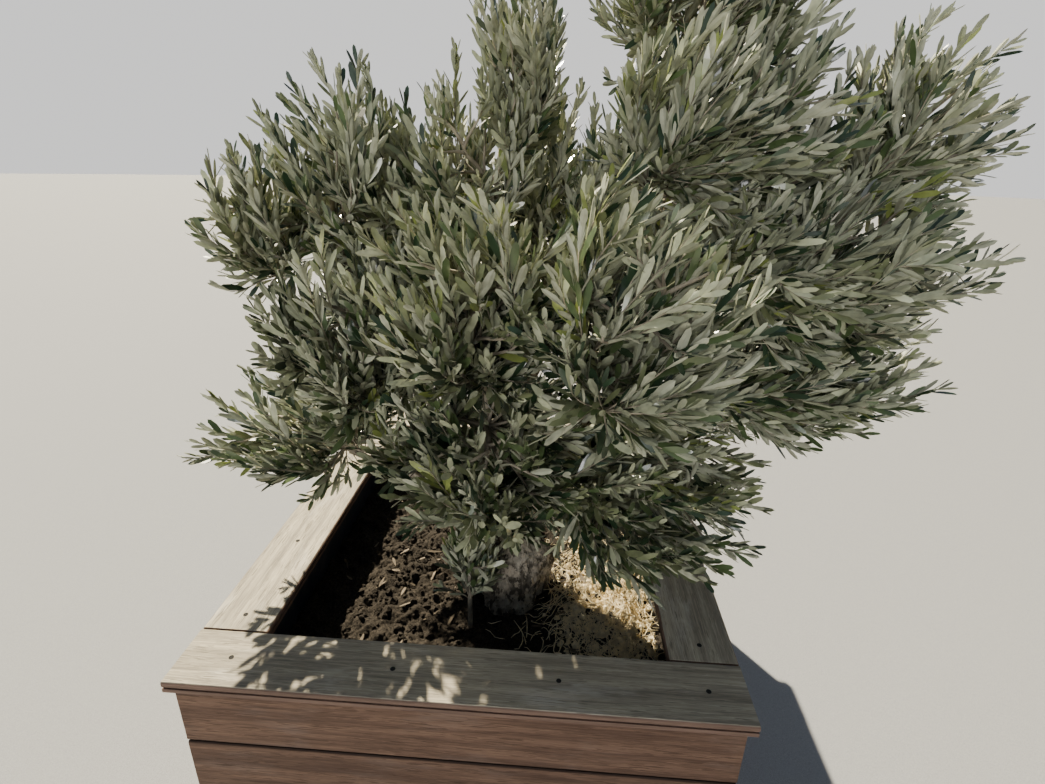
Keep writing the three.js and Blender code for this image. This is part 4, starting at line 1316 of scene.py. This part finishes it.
def half_ball(radius, low, columns=48, rows=16):
    """Half a ball seen from inside: radius * (cos u cos v, sin u cos v, sin v), down to a low height."""
    v = np.linspace(math.asin(low / radius), np.pi / 2, rows + 1)[:-1]
    turn, rise = np.meshgrid(turns(columns), v)
    ring = np.stack([np.cos(turn) * np.cos(rise), np.sin(turn) * np.cos(rise), np.sin(rise)], axis=-1)
    points = np.concatenate([radius * ring.reshape(-1, 3), [[0, 0, radius]]])
    row, column = np.meshgrid(np.arange(rows - 1), np.arange(columns), indexing="ij")
    a, b = row * columns + column, row * columns + (column + 1) % columns
    walls = corners(b, a, a + columns, b + columns).reshape(-1, 4)
    last = (rows - 1) * columns + np.arange(columns)
    top = corners(np.roll(last, -1), last, np.full(columns, len(points) - 1))
    return points.tolist(), walls.tolist() + top.tolist()


def backdrop_finish(colour):
    """A backdrop that glows evenly, so that it looks as pale as the floor."""
    finish = Finish("pale_backdrop", Roughness=1.0, Emission_Strength=1.0)
    finish.feed(finish.shader.inputs["Emission Color"], opaque(colour))
    return finish.close(opaque((0.0, 0.0, 0.0)))


def stage_sheet(name, points, faces, material):
    mesh = bpy.data.meshes.new(name)
    mesh.from_pydata(points, [], faces)
    mesh.materials.append(material)
    sheet = put(name, mesh)
    return sheet


class OLIVE_OT_stage(bpy.types.Operator):
    """Set the camera, the plain floor and the soft light"""
    bl_idname = "olive.stage"
    bl_label = "Stage"

    def execute(self, context):
        settings = context.scene.olive_stage
        lens = bpy.data.cameras.new("photo_camera")
        lens.lens = CAMERA["lens"]
        lens.sensor_width = CAMERA["sensor"]
        lens.clip_start = CAMERA["clip"]
        camera = put("photo_camera", lens)
        axes = np.stack([CAMERA["right"], CAMERA["up"], -np.array(CAMERA["ahead"])], axis=1)
        camera.matrix_world = Matrix.Translation(CAMERA["place"]) @ Matrix(axes.tolist()).to_4x4()
        context.scene.camera = camera
        reach, low = STAGE["reach"], STAGE["floor"]
        square = [(-reach, -reach, low), (reach, -reach, low), (reach, reach, low), (-reach, reach, low)]
        material = plain_finish("pale_floor", settings.floor_colour, 0.9, 900)
        stage_sheet("floor", square, [(0, 1, 2, 3)], material)
        points, faces = half_ball(STAGE["backdrop"], STAGE["foot"])
        backdrop = stage_sheet("backdrop", points, faces, backdrop_finish(settings.backdrop_colour))
        backdrop.visible_diffuse = False
        backdrop.visible_glossy = False
        backdrop.visible_shadow = False
        world = bpy.data.worlds.new("even_light")
        world.use_nodes = True
        sky = world.node_tree.nodes["Background"]
        sky.inputs["Color"].default_value = opaque(SKY_COLOUR)
        sky.inputs["Strength"].default_value = settings.sky_strength
        context.scene.world = world
        add_sun("key", settings.key_strength, *LAMPS["key"])
        add_sun("front", settings.front_strength, *LAMPS["front"])
        return {"FINISHED"}


OPERATORS = (
    OLIVE_OT_stage, OLIVE_OT_caps, OLIVE_OT_boards, OLIVE_OT_screws, OLIVE_OT_liner,
    OLIVE_OT_soil, OLIVE_OT_litter, OLIVE_OT_wood, OLIVE_OT_foliage,
)


class OLIVE_PT_panel(bpy.types.Panel):
    """Lists the pieces of the olive tree and their settings"""
    bl_idname = "OLIVE_PT_panel"
    bl_label = "Olive tree"
    bl_space_type = "VIEW_3D"
    bl_region_type = "UI"
    bl_category = "Olive tree"

    def draw(self, context):
        for operator in OPERATORS:
            self.layout.operator(operator.bl_idname)
        for group in (context.scene.olive_planter, context.scene.olive_tree, context.scene.olive_stage):
            box = self.layout.box()
            for name in group.__annotations__:
                box.prop(group, name)


SETTINGS = {
    "olive_planter": PlanterSettings,
    "olive_tree": TreeSettings,
    "olive_stage": StageSettings,
}


def register():
    for group in SETTINGS.values():
        bpy.utils.register_class(group)
    for name, group in SETTINGS.items():
        setattr(bpy.types.Scene, name, PointerProperty(type=group))
    for operator in OPERATORS:
        bpy.utils.register_class(operator)
    bpy.utils.register_class(OLIVE_PT_panel)


def unregister():
    bpy.utils.unregister_class(OLIVE_PT_panel)
    for operator in reversed(OPERATORS):
        bpy.utils.unregister_class(operator)
    for name, group in SETTINGS.items():
        delattr(bpy.types.Scene, name)
        bpy.utils.unregister_class(group)


def main():
    register()
    for operator in OPERATORS:
        group, name = operator.bl_idname.split(".")
        getattr(getattr(bpy.ops, group), name)()


if __name__ == "__main__":
    main()
